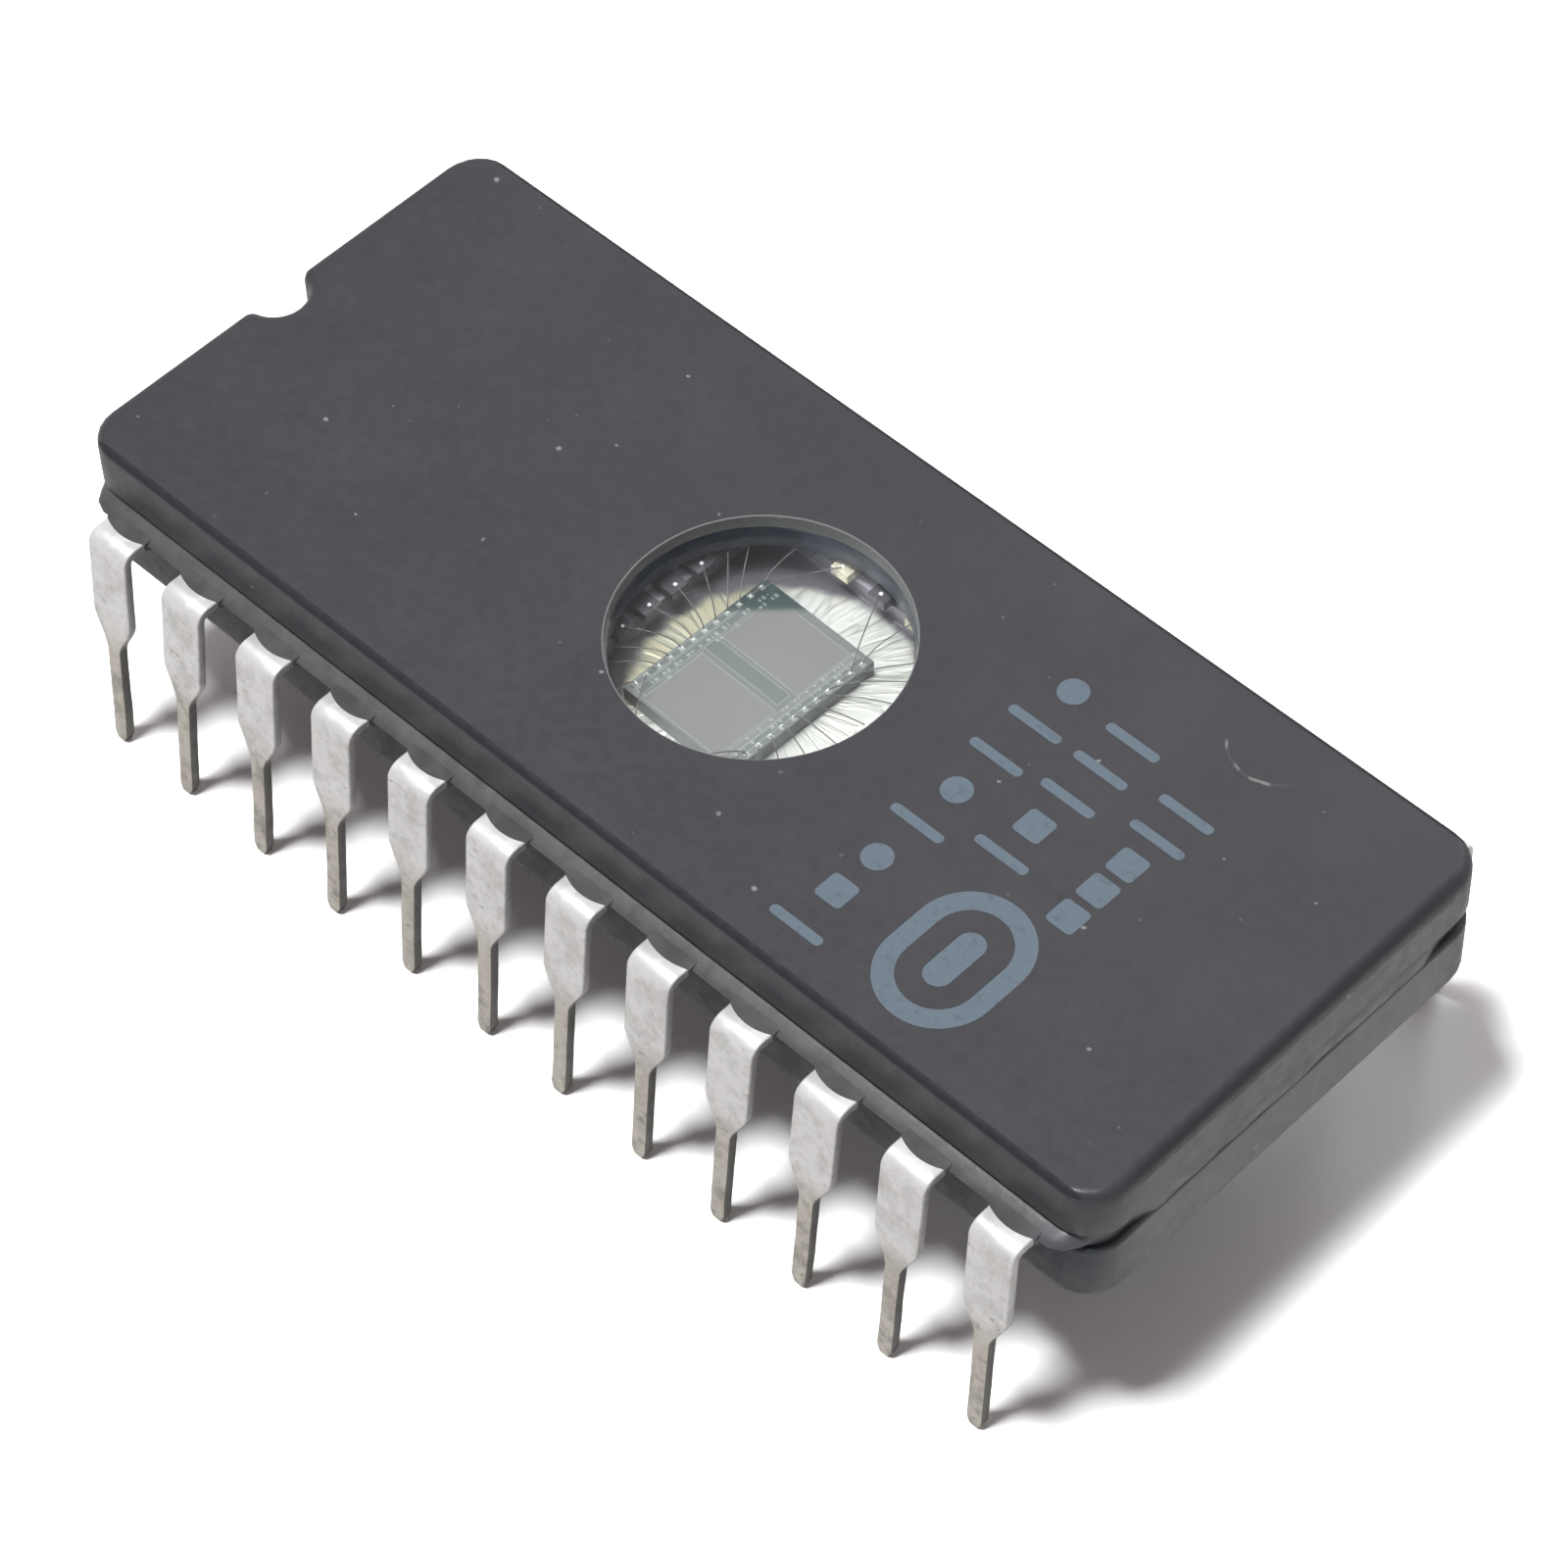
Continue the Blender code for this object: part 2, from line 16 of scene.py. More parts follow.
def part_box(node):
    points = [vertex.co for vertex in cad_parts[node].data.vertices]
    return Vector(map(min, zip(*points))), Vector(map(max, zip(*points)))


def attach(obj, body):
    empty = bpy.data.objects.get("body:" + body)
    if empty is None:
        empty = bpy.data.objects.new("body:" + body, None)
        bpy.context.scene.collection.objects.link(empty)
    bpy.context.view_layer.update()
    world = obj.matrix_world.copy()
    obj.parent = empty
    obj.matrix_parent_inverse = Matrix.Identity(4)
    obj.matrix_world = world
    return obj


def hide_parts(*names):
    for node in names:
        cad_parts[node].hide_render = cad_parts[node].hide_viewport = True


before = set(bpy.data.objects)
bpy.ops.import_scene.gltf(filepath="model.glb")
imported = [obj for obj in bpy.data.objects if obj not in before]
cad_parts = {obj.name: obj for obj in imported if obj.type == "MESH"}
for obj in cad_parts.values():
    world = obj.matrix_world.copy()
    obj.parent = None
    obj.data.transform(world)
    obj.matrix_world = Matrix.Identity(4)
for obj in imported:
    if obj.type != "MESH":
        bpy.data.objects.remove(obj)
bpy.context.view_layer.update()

Color = tuple[float, float, float]
Point = tuple[float, float, float]
Pair = tuple[float, float]
Socket = bpy.types.NodeSocket
Tree = bpy.types.NodeTree
Material = bpy.types.Material
Mesh = bpy.types.Mesh
Piece = bpy.types.Object

BODY = "root"
MM = 0.001
DOUBLES = 0.0015 * MM  # points of a frame mesh this close are one
SEAM = 0.0001 * MM  # the same for a grown shell
SHARP = 40.0  # degrees from which an edge stays sharp
DIE_CENTER = (-0.3 * MM, -0.13 * MM)
DIE_YAW = math.radians(-1.5)
log = logging.getLogger("chip")


# Node trees


class Value:
    """A node's output. Python's operators add a Math node that works out the result."""

    def __init__(self, graph: "Graph", socket: Socket) -> None:
        """Keep the graph and the socket."""
        self.graph, self.socket = graph, socket

    def __add__(self, other: object) -> "Value":
        """Return the sum."""
        return self.graph.math("ADD", self, other)

    def __radd__(self, other: object) -> "Value":
        """Return the sum with a plain number."""
        return self.graph.math("ADD", other, self)

    def __sub__(self, other: object) -> "Value":
        """Return the difference."""
        return self.graph.math("SUBTRACT", self, other)

    def __rsub__(self, other: object) -> "Value":
        """Return the difference from a plain number."""
        return self.graph.math("SUBTRACT", other, self)

    def __mul__(self, other: object) -> "Value":
        """Return the product."""
        return self.graph.math("MULTIPLY", self, other)

    def __truediv__(self, other: object) -> "Value":
        """Return the quotient."""
        return self.graph.math("DIVIDE", self, other)

    def __abs__(self) -> "Value":
        """Return the size without its sign."""
        return self.graph.math("ABSOLUTE", self)


class Graph:
    """A node tree with short calls that add and join its nodes."""

    def __init__(self, tree: Tree) -> None:
        """Keep the tree."""
        self.tree = tree

    def feed(self, target: Socket, source: object) -> None:
        """Link a value to an input, or set the input itself.

        Args:
            target: The input.
            source: A value, or a plain number, vector, colour, name or material.
        """
        if isinstance(source, Value):
            self.tree.links.new(source.socket, target)
        else:
            target.default_value = (*source, 1.0) if target.type == "RGBA" else source

    def add(self, kind: str, inputs: dict | None = None, **settings: object) -> bpy.types.Node:
        """Add a node.

        Args:
            kind: Blender's name of the node type.
            inputs: Input names or indices to what feeds them.
            settings: Properties of the node.

        Returns:
            The node.
        """
        node = self.tree.nodes.new(kind)
        for name, setting in settings.items():
            setattr(node, name, setting)
        for key, source in (inputs or {}).items():
            self.feed(node.inputs[key], source)
        return node

    def get(self, kind: str, inputs: dict | None = None, output: int | str = 0, **settings: object) -> Value:
        """Add a node and return one of its outputs."""
        return Value(self, self.add(kind, inputs, **settings).outputs[output])

    def math(self, operation: str, first: object, second: object = 0.0, clamp: bool = False) -> Value:
        """Work out one number from two, kept between 0 and 1 where it is clamped."""
        return self.get("ShaderNodeMath", {0: first, 1: second}, operation=operation, use_clamp=clamp)

    def vector(self, operation: str, first: Value, second: object) -> Value:
        """Work out one vector from two, or from one and a number where it is scaled."""
        inputs = {0: first, "Scale" if operation == "SCALE" else 1: second}
        return self.get("ShaderNodeVectorMath", inputs, operation=operation)

    def length(self, vector: Value) -> Value:
        """Return the length of a vector."""
        return self.get("ShaderNodeVectorMath", {0: vector}, "Value", operation="LENGTH")

    def xyz(self, x: object = 0.0, y: object = 0.0, z: object = 0.0) -> Value:
        """Join three numbers into a vector."""
        return self.get("ShaderNodeCombineXYZ", {0: x, 1: y, 2: z})

    def parts(self, vector: Value) -> tuple[Value, ...]:
        """Split a vector into its three numbers."""
        return tuple(Value(self, part) for part in self.add("ShaderNodeSeparateXYZ", {0: vector}).outputs)

    def ramp(self, source: Value, low: object, high: object, start: object = 0.0, end: object = 1.0) -> Value:
        """Map a value smoothly from the range low to high to the range start to end."""
        inputs = {0: source, 1: low, 2: high, 3: start, 4: end}
        return self.get("ShaderNodeMapRange", inputs, interpolation_type="SMOOTHSTEP")

    def blend(self, share: Value, first: object, second: object, mode: str = "MIX") -> Value:
        """Blend two colours by the share of the second."""
        return self.get("ShaderNodeMix", {0: share, 6: first, 7: second}, 2, data_type="RGBA", blend_type=mode)

    def noise(self, vector: Value, scale: object, detail: float = 3.0, roughness: float = 0.5) -> Value:
        """Return a noise pattern, about 0.5 on average, with its scale in repeats per metre."""
        inputs = {"Vector": vector, "Scale": scale, "Detail": detail, "Roughness": roughness}
        return self.get("ShaderNodeTexNoise", inputs)


class Group(Graph):
    """A node group, whose inputs are read by their names."""

    def __init__(self, name: str, kind: str, inputs: dict[str, str], outputs: dict[str, str]) -> None:
        """Make the group.

        Args:
            name: Its name.
            kind: ShaderNodeTree or GeometryNodeTree.
            inputs: Types to the names of the inputs of that type.
            outputs: The same for its outputs.
        """
        super().__init__(bpy.data.node_groups.new(name, kind))
        for in_out, sockets in (("INPUT", inputs), ("OUTPUT", outputs)):
            for socket_type, labels in sockets.items():
                for label in labels.split(", "):
                    self.tree.interface.new_socket(name=label, in_out=in_out, socket_type=f"NodeSocket{socket_type}")
        self.given = self.add("NodeGroupInput").outputs
        self.result = self.add("NodeGroupOutput").inputs

    def __getitem__(self, label: str) -> Value:
        """Return one of the inputs."""
        return Value(self, self.given[label])

    def finish(self, *results: Value) -> Tree:
        """Feed the outputs.

        Args:
            results: What feeds them, in their order.

        Returns:
            The group's tree.
        """
        for target, result in zip(self.result, results):
            self.feed(target, result)
        return self.tree


# Effects that several finishes share


class Effects:
    """Shader node groups for clouds, flecks, creases and rectangles."""

    def __init__(self) -> None:
        """Build each group once."""
        self.clouds, self.flecks, self.creases = self._clouds(), self._flecks(), self._creases()
        self.panel = self._panel()

    @staticmethod
    def _start(name: str, numbers: str, vectors: str = "Vector", masks: str = "Mask") -> Group:
        """Start a shader group with the names of its number and vector inputs and of its masks."""
        return Group(name, "ShaderNodeTree", {"Vector": vectors, "Float": numbers}, {"Float": masks})

    def _clouds(self) -> Tree:
        """Build soft uneven patches, with a mask from 0 to 1."""
        g = self._start("clouds", "Scale, Low, High")
        return g.finish(g.ramp(g.noise(g["Vector"], g["Scale"], 5.0, 0.6), g["Low"], g["High"]))

    def _flecks(self) -> Tree:
        """Build small separate spots, few of them in view at once.

        Returns:
            The group, with a mask from 0 to 1.
        """
        g = self._start("flecks", "Scale, Radius, Share")
        warp = g.get("ShaderNodeTexNoise", {"Vector": g["Vector"], "Scale": 9000.0}, "Color")
        place = g.vector("ADD", g["Vector"], g.vector("SCALE", warp, 0.12 * MM))
        cells = g.add("ShaderNodeTexVoronoi", {"Vector": place, "Scale": g["Scale"]})
        chance = g.add("ShaderNodeSeparateColor", {0: Value(g, cells.outputs["Color"])}).outputs
        size = g["Radius"] * (Value(g, chance[1]) + 0.3)
        spot = g.math("DIVIDE", size - Value(g, cells.outputs["Distance"]), size * 0.5, clamp=True)
        return g.finish(spot * g.math("LESS_THAN", Value(g, chance[0]), g["Share"]))

    def _creases(self) -> Tree:
        """Build fine ridged lines, as on crumpled foil or a handled tin surface.

        Returns:
            The group, with a mask that is 1 along each line.
        """
        g = self._start("creases", "Scale, Width")
        away = abs(g.noise(g["Vector"], g["Scale"], 2.0, 0.45) - 0.5)
        return g.finish(g.math("SUBTRACT", 1.0, away / g["Width"], clamp=True))

    def _panel(self) -> Tree:
        """Build a soft-edged rectangle in the XY plane.

        Returns:
            The group, with a mask of the rectangle and one of its outline.
        """
        g = self._start("panel", "Half X, Half Y, Line", "Vector, Center", "Mask, Outline")
        x, y, _ = g.parts(g.vector("SUBTRACT", g["Vector"], g["Center"]))
        outside = g.math("MAXIMUM", abs(x) - g["Half X"], abs(y) - g["Half Y"])
        outline = g.math("SUBTRACT", 1.0, abs(outside) / g["Line"], clamp=True)
        return g.finish(g.ramp(outside, 0.012 * MM, -0.012 * MM), outline)


# Finishes


class Surface(Graph):
    """A material in the making: its shader, the object's own coordinates and the shared effects."""

    def __init__(self, name: str, effects: Effects) -> None:
        """Start the material.

        Args:
            name: Its name.
            effects: The shared groups.
        """
        self.material = bpy.data.materials.new(name)
        self.material.use_nodes = True
        super().__init__(self.material.node_tree)
        self.effects = effects
        self.shader = self.tree.nodes["Principled BSDF"]
        self.place = self.get("ShaderNodeTexCoord", output="Object")

    def set(self, name: str, source: object) -> None:
        """Set or feed one of the shader's inputs."""
        self.feed(self.shader.inputs[name], source)

    def clouds(self, scale: float, low: float, high: float) -> Value:
        """Return soft patches that begin where the noise is low and are full where it is high."""
        inputs = {"Vector": self.place, "Scale": scale, "Low": low, "High": high}
        return self.get("ShaderNodeGroup", inputs, node_tree=self.effects.clouds)

    def flecks(self, scale: float, radius: float, share: float) -> Value:
        """Return small spots in a share of the cells, with their radius as a share of a cell."""
        inputs = {"Vector": self.place, "Scale": scale, "Radius": radius, "Share": share}
        return self.get("ShaderNodeGroup", inputs, node_tree=self.effects.flecks)

    def creases(self, vector: Value, scale: float, width: float) -> Value:
        """Return fine lines on a pattern of the given scale."""
        inputs = {"Vector": vector, "Scale": scale, "Width": width}
        return self.get("ShaderNodeGroup", inputs, node_tree=self.effects.creases)

    def within(self, radius: float, soft: float) -> Value:
        """Mask what lies round the window's axis, with half the width of the mask's soft edge."""
        x, y, _ = self.parts(self.place)
        return self.ramp(self.length(self.xyz(x, y)), radius + soft, radius - soft)

    def facing(self) -> tuple[Value, ...]:
        """Return the three parts of the direction that the surface faces."""
        return self.parts(self.get("ShaderNodeTexCoord", output="Normal"))

    def relief(self, height: Value, depth: float, strength: float) -> None:
        """Make the surface bumpy, with the depth of a full step of the pattern of heights."""
        self.set("Normal", self.get("ShaderNodeBump", {"Height": height, "Distance": depth, "Strength": strength}))


@dataclass(frozen=True)
class Finish:
    """What every finish has in common.

    Attributes:
        name: The material's name.
        color: Its main colour.
        roughness: Its main roughness.
    """

    name: str
    color: Color
    roughness: float

    def make(self, effects: Effects) -> Material:
        """Build the material.

        Args:
            effects: The shared groups.

        Returns:
            The material.
        """
        surface = Surface(self.name, effects)
        surface.set("Roughness", self.roughness)
        surface.set("Base Color", self.paint(surface))
        return surface.material

    def paint(self, s: Surface) -> object:
        """Return the colour of a plain surface."""
        return self.color

    def vary(self, s: Surface, scale: float, detail: float, less: float, more: float) -> Value:
        """Return the roughness, uneven by less and more about its main value."""
        return s.ramp(s.noise(s.place, scale, detail), 0.3, 0.7, self.roughness - less, self.roughness + more)


@dataclass(frozen=True)
class CeramicFinish(Finish):
    """Pressed and fired dark alumina.

    Attributes:
        cloud_color: Colour of its faint paler clouds.
        fleck_color: Colour of specks and small scuffs.
        end_color: Colour of the two end faces, made paler and greener as painted light.
        end_from: Where an end face begins, from the middle.
        lip_color: Painted shade along the top of an end face and on the top edge of a long side.
        lip_level: Height where that painted shade begins on an end face.
        side_from: Where a long side begins, from the middle.
        edge_level: Height where the painted shade on the top edge of a long side begins.
        foot_color: Colour of the upper plate's long sides near the joint, painted lighter to lift the shade of the
            recess there.
        grain: Depth of the fired grain.
        end_across: Where an end's painted light begins and is full, from its corners inwards.
        foot_above: Heights where the painted joint light begins and is full, from above.
        foot_below: The same from below.
    """

    cloud_color: Color = (0.054, 0.0535, 0.061)
    fleck_color: Color = (0.3, 0.32, 0.31)
    end_color: Color = (0.112, 0.124, 0.124)
    end_from: float = 15.72 * MM
    lip_color: Color = (0.022, 0.021, 0.027)
    lip_level: float = 7.9 * MM
    side_from: float = 6.2 * MM
    edge_level: float = 8.15 * MM
    foot_color: Color = (0.09, 0.088, 0.096)
    grain: float = 0.01 * MM
    end_across: Pair = (6.0 * MM, 4.4 * MM)
    foot_above: Pair = (7.4 * MM, 6.95 * MM)
    foot_below: Pair = (6.55 * MM, 6.65 * MM)

    def paint(self, s: Surface) -> Value:
        """Add clouds, flecks, painted light on the ends and at the joint, painted shade on the top edges, and the
        grain.

        Args:
            s: The surface.

        Returns:
            Its colour.
        """
        x, y, z = s.parts(s.place)
        tone = s.blend(s.clouds(420.0, 0.4, 0.72), self.color, self.cloud_color)
        tone = s.blend(s.clouds(2600.0, 0.45, 0.7) * 0.15, tone, self.cloud_color)
        # Painted light: the end faces are paler and greener, with painted shade along their top.
        end = s.ramp(abs(x), self.end_from - 0.22 * MM, self.end_from + 0.1 * MM)
        end = end * s.ramp(abs(y), *self.end_across, 0.3, 1.0)
        end_shade = s.ramp(z, self.lip_level - 0.05 * MM, self.lip_level + 0.05 * MM)
        tone = s.blend(end, tone, s.blend(end_shade, self.end_color, self.lip_color))
        tone = s.blend(s.flecks(2600.0, 0.12, 0.05) * 0.3, tone, self.fleck_color)
        tone = s.blend(s.flecks(1000.0, 0.07, 1.0), tone, self.fleck_color)
        # Painted shade on the rounded top edge of the long sides, which is also made rougher.
        side = s.ramp(abs(y), self.side_from, self.side_from + 0.04 * MM)
        edge = side * s.ramp(z, self.edge_level, self.edge_level + 0.06 * MM)
        tone = s.blend(edge, tone, self.lip_color)
        # Painted light that lifts the shade of the recess under the cap's long sides.
        foot = side * s.ramp(z, *self.foot_above) * s.ramp(z, *self.foot_below)
        tone = s.blend(foot, tone, self.foot_color)
        s.set("Roughness", self.vary(s, 3000.0, 4.0, 0.06, 0.06) + edge * 0.35)
        s.relief(s.noise(s.place, 14000.0, 3.0, 0.6) + s.noise(s.place, 900.0, 2.0) * 1.6, self.grain, 0.5)
        return self.details(s, tone)

    def details(self, s: Surface, tone: Value) -> Value:
        """Return the colour with what only one plate has; the plain plate has nothing."""
        return tone


@dataclass(frozen=True)
class BaseFinish(CeramicFinish):
    """Ceramic with glass that has run over the ledge round the cavity, made lighter there as painted light in the
    shade under the cap.

    Attributes:
        run_color: Colour of the glazed cavity wall, partly painted light that lifts the shade under the cap.
        run_radius: How far the glaze reaches from the window's axis.
        run_level: Height above which it lies.
        ledge_color: Colour of the glaze on the ledge, between the fingers, partly painted light that lifts the shade
            there.
        ledge_level: Height of the ledge.
    """

    run_color: Color = (0.17, 0.165, 0.19)
    run_radius: float = 5.2 * MM
    run_level: float = 5.7 * MM
    ledge_color: Color = (0.29, 0.28, 0.32)
    ledge_level: float = 6.32 * MM

    def details(self, s: Surface, tone: Value) -> Value:
        """Add the glaze, partly painted light in the shade under the cap.

        Args:
            s: The surface.
            tone: Its colour so far.

        Returns:
            The new colour.
        """
        z = s.parts(s.place)[2]
        high = s.ramp(z, self.run_level - 0.02 * MM, self.run_level + 0.02 * MM)
        ledge = s.ramp(z, self.ledge_level - 0.05 * MM, self.ledge_level)
        # Glaze tone and painted light together: lighter than the glass, to lift the shade under the cap.
        lifted_glaze = s.blend(ledge, self.run_color, self.ledge_color)
        return s.blend(high * s.within(self.run_radius, 0.05 * MM), tone, lifted_glaze)


@dataclass(frozen=True)
class CapFinish(CeramicFinish):
    """Ceramic with painted light on the bore's rim, painted shade on the bore's wall behind the glass, and one curved
    scratch.

    Attributes:
        wet: Painted light on the rim and the upper wall of the bore, above the glass.
        deep: Painted shade on the wall behind the glass, which is also made metallic.
        bore: Radius inside which the wall lies.
        glass_level: Height of the window's upper face.
        scratch: Middle of the scratch's curve.
        scratch_radius: Radius of its curve.
        scratch_end: Where it fades in, across the package.
        scratch_width: From its line to where it has gone and to where it is full.
    """

    wet: Color = (0.33, 0.345, 0.35)
    deep: Color = (0.045, 0.058, 0.1)
    bore: float = 3.56 * MM
    glass_level: float = 7.97 * MM
    scratch: Pair = (10.5 * MM, 5.55 * MM)
    scratch_radius: float = 1.15 * MM
    scratch_end: Pair = (-0.62 * MM, -0.8 * MM)
    scratch_width: Pair = (0.055 * MM, 0.018 * MM)

    def details(self, s: Surface, tone: Value) -> Value:
        """Add the painted light and shade in the bore, and the scratch.

        Args:
            s: The surface.
            tone: Its colour so far.

        Returns:
            The new colour.
        """
        x, y, z = s.parts(s.place)
        # Painted light on the bore above the glass, painted shade below it; the wall behind the glass is made
        # metallic.
        below = s.ramp(z, self.glass_level + 0.03 * MM, self.glass_level - 0.05 * MM)
        in_bore = s.within(self.bore, 0.01 * MM)
        s.set("Metallic", in_bore * below)
        tone = s.blend(in_bore, tone, s.blend(below, self.wet, self.deep))
        away = s.vector("SUBTRACT", s.xyz(x, y), (*self.scratch, 0.0))
        wobble = (s.noise(s.place, 2500.0) - 0.5) * (0.12 * MM)
        off = abs(s.length(away) + wobble - self.scratch_radius)
        lower = s.ramp(s.parts(away)[1], *self.scratch_end)
        broken = s.ramp(s.noise(s.place, 2600.0), 0.42, 0.58, 0.1, 1.0)
        line = s.ramp(off, *self.scratch_width) * (lower * broken)
        return s.blend(line * 0.75, tone, self.fleck_color)


@dataclass(frozen=True)
class SealFinish(Finish):
    """Solder glass, dull where it has devitrified.

    Attributes:
        pale: Colour of its paler streaks.
        inner: Colour round the cavity, partly painted light that lifts the shade under the cap.
        corner: Colour round the corners of the end without the notch, painted lighter to lift the shade in the seam
            there.
        end: Colour where it has run over the ends.
        inner_radius: How far the cavity's painted light reaches from the window's axis.
        corner_span: Where the corners' painted light begins and is full, along the package.
        end_across: Where an end's tone begins and is full, across the package.
        end_span: The same along the package.
    """

    pale: Color = (0.115, 0.113, 0.12)
    inner: Color = (0.26, 0.25, 0.285)
    corner: Color = (0.1, 0.097, 0.11)
    end: Color = (0.095, 0.105, 0.105)
    inner_radius: float = 5.4 * MM
    corner_span: Pair = (14.25 * MM, 14.75 * MM)
    end_across: Pair = (5.0 * MM, 4.4 * MM)
    end_span: Pair = (15.55 * MM, 15.68 * MM)

    def paint(self, s: Surface) -> Value:
        """Add streaks, painted light round the cavity and at the corners, the tone of the ends, and a soft relief.

        Args:
            s: The surface.

        Returns:
            Its colour.
        """
        x, y, _ = s.parts(s.place)
        tone = s.blend(s.clouds(1300.0, 0.38, 0.68), self.color, self.pale)
        # Painted light round the cavity and at the corners of the end without the notch, lifting the shade there.
        tone = s.blend(s.within(self.inner_radius, 0.05 * MM), tone, self.inner)
        tone = s.blend(s.ramp(x, *self.corner_span), tone, self.corner)
        at_end = s.ramp(abs(y), *self.end_across) * s.ramp(abs(x), *self.end_span)
        s.set("Roughness", self.vary(s, 2200.0, 3.0, 0.08, 0.1))
        s.relief(s.noise(s.place, 2600.0, 2.0), 0.02 * MM, 0.35)
        return s.blend(at_end, tone, self.end)


@dataclass(frozen=True)
class TinFinish(Finish):
    """Matt tin plate on a handled lead, with dull patches, scratches and a darker foot, painted light on its tops and
    painted shade on its cut edges.

    Attributes:
        dull: Colour of its dull patches.
        scar: Colour of its scratches and stains.
        worn: Painted light on the faces that look up, most on the top of the bend.
        edge: Painted shade on the cut edges of the strip, the faces that look sideways.
        foot: Tint of the narrow part, towards the tip.
        metal: Share of metal in its reflection.
        foot_span: Heights where the foot's tint begins and is full.
    """

    dull: Color = (0.56, 0.55, 0.53)
    scar: Color = (0.2, 0.185, 0.165)
    worn: Color = (0.98, 0.98, 0.97)
    edge: Color = (0.17, 0.165, 0.15)
    foot: Color = (0.74, 0.7, 0.63)
    metal: float = 0.42
    foot_span: Pair = (4.2 * MM, 2.9 * MM)

    def paint(self, s: Surface) -> Value:
        """Add patches, scratches, stains, the foot's tint, painted light on the tops, painted shade on the edges, and
        the dents.

        Args:
            s: The surface.

        Returns:
            Its colour.
        """
        s.set("Metallic", self.metal)
        broad = s.clouds(1500.0, 0.46, 0.62)
        across = s.get("ShaderNodeMapping",
                       {"Vector": s.place, "Rotation": (0.2, 0.3, 0.1), "Scale": (0.35, 0.5, 1.3)})
        scar = s.creases(across, 1500.0, 0.01) * s.clouds(900.0, 0.54, 0.64)
        low = s.ramp(s.parts(s.place)[2], *self.foot_span)
        tone = s.blend((broad + s.clouds(5200.0, 0.47, 0.66)) * 0.32, self.color, self.dull)
        tone = s.blend(scar * 0.7, tone, self.scar)
        tone = s.blend(low, tone, self.foot, "MULTIPLY")
        tone = s.blend(s.clouds(2100.0, 0.5, 0.66) * s.ramp(low, 0.0, 1.0, 0.12, 0.5), tone, self.scar)
        # Painted light on faces that look up; painted shade on the sideways cut edges.
        sideways, _, upward = s.facing()
        tone = s.blend(s.ramp(upward, 0.3, 0.8, 0.0, 0.8), tone, self.worn)
        cut = s.ramp(abs(sideways), 0.45, 0.85) * s.ramp(low, 0.0, 1.0, 0.3, 1.0)
        s.set("Roughness", s.ramp(broad, 0.0, 1.0, self.roughness - 0.06, self.roughness + 0.14))
        height = s.noise(across, 3400.0, 4.0, 0.55) + s.noise(s.place, 1200.0, 1.0) * 2.0
        s.relief(height - scar * 0.4, 0.04 * MM, 0.24)
        return s.blend(cut, tone, self.edge)


@dataclass(frozen=True)
class MetalFinish(Finish):
    """Plain metal with a little tarnish.

    Attributes:
        metal: Share of metal in its reflection.
        tarnish: Tint of its dull patches.
        wrinkle: Depth of its wrinkles.
    """

    metal: float = 1.0
    tarnish: Color = (0.85, 0.84, 0.8)
    wrinkle: float = 0.004 * MM

    def paint(self, s: Surface) -> Value:
        """Add tarnish and wrinkles.

        Args:
            s: The surface.

        Returns:
            Its colour.
        """
        s.set("Metallic", self.metal)
        s.relief(s.noise(s.place, 6000.0, 3.0), self.wrinkle, 0.5)
        return s.blend(s.clouds(1800.0, 0.45, 0.75), self.color, self.tarnish, "MULTIPLY")


@dataclass(frozen=True)
class FingerFinish(Finish):
    """Inner fingers, dark with painted shade, with painted light on some tips of the far side and on the near end.

    Attributes:
        cream: Painted light on some tips of the far side.
        cream_from: Where they begin, across the package.
        cream_first: Place of one lit tip along the package.
        cream_step: From one lit tip to the next.
        silver: Painted light on the tips of the near end.
        silver_from: Where they begin, along the package.
    """

    cream: Color = (0.85, 0.79, 0.62)
    cream_from: float = 3.1 * MM
    cream_first: float = -0.73 * MM
    cream_step: float = 2.33 * MM
    silver: Color = (0.62, 0.62, 0.6)
    silver_from: float = 2.3 * MM

    def paint(self, s: Surface) -> Value:
        """Add the painted light on the tips and a soft relief.

        Args:
            s: The surface.

        Returns:
            Its colour.
        """
        s.set("Metallic", 0.5)
        x, y, _ = s.parts(s.place)
        # Painted light on the far side's tips and on the near end; the main colour is painted shade.
        far = s.ramp(y, self.cream_from - 0.1 * MM, self.cream_from + 0.1 * MM)
        phase = (x - self.cream_first) * (math.tau / self.cream_step)
        lit_tips = s.ramp(s.math("COSINE", phase), -0.1, 0.2)
        tone = s.blend(far * lit_tips * (1.0 - s.clouds(2200.0, 0.4, 0.6) * 0.4), self.color, self.cream)
        lit_end = s.ramp(x, self.silver_from - 0.1 * MM, self.silver_from + 0.1 * MM)
        s.relief(s.noise(s.place, 4000.0, 2.0), 0.01 * MM, 0.4)
        return s.blend(lit_end, tone, self.silver)


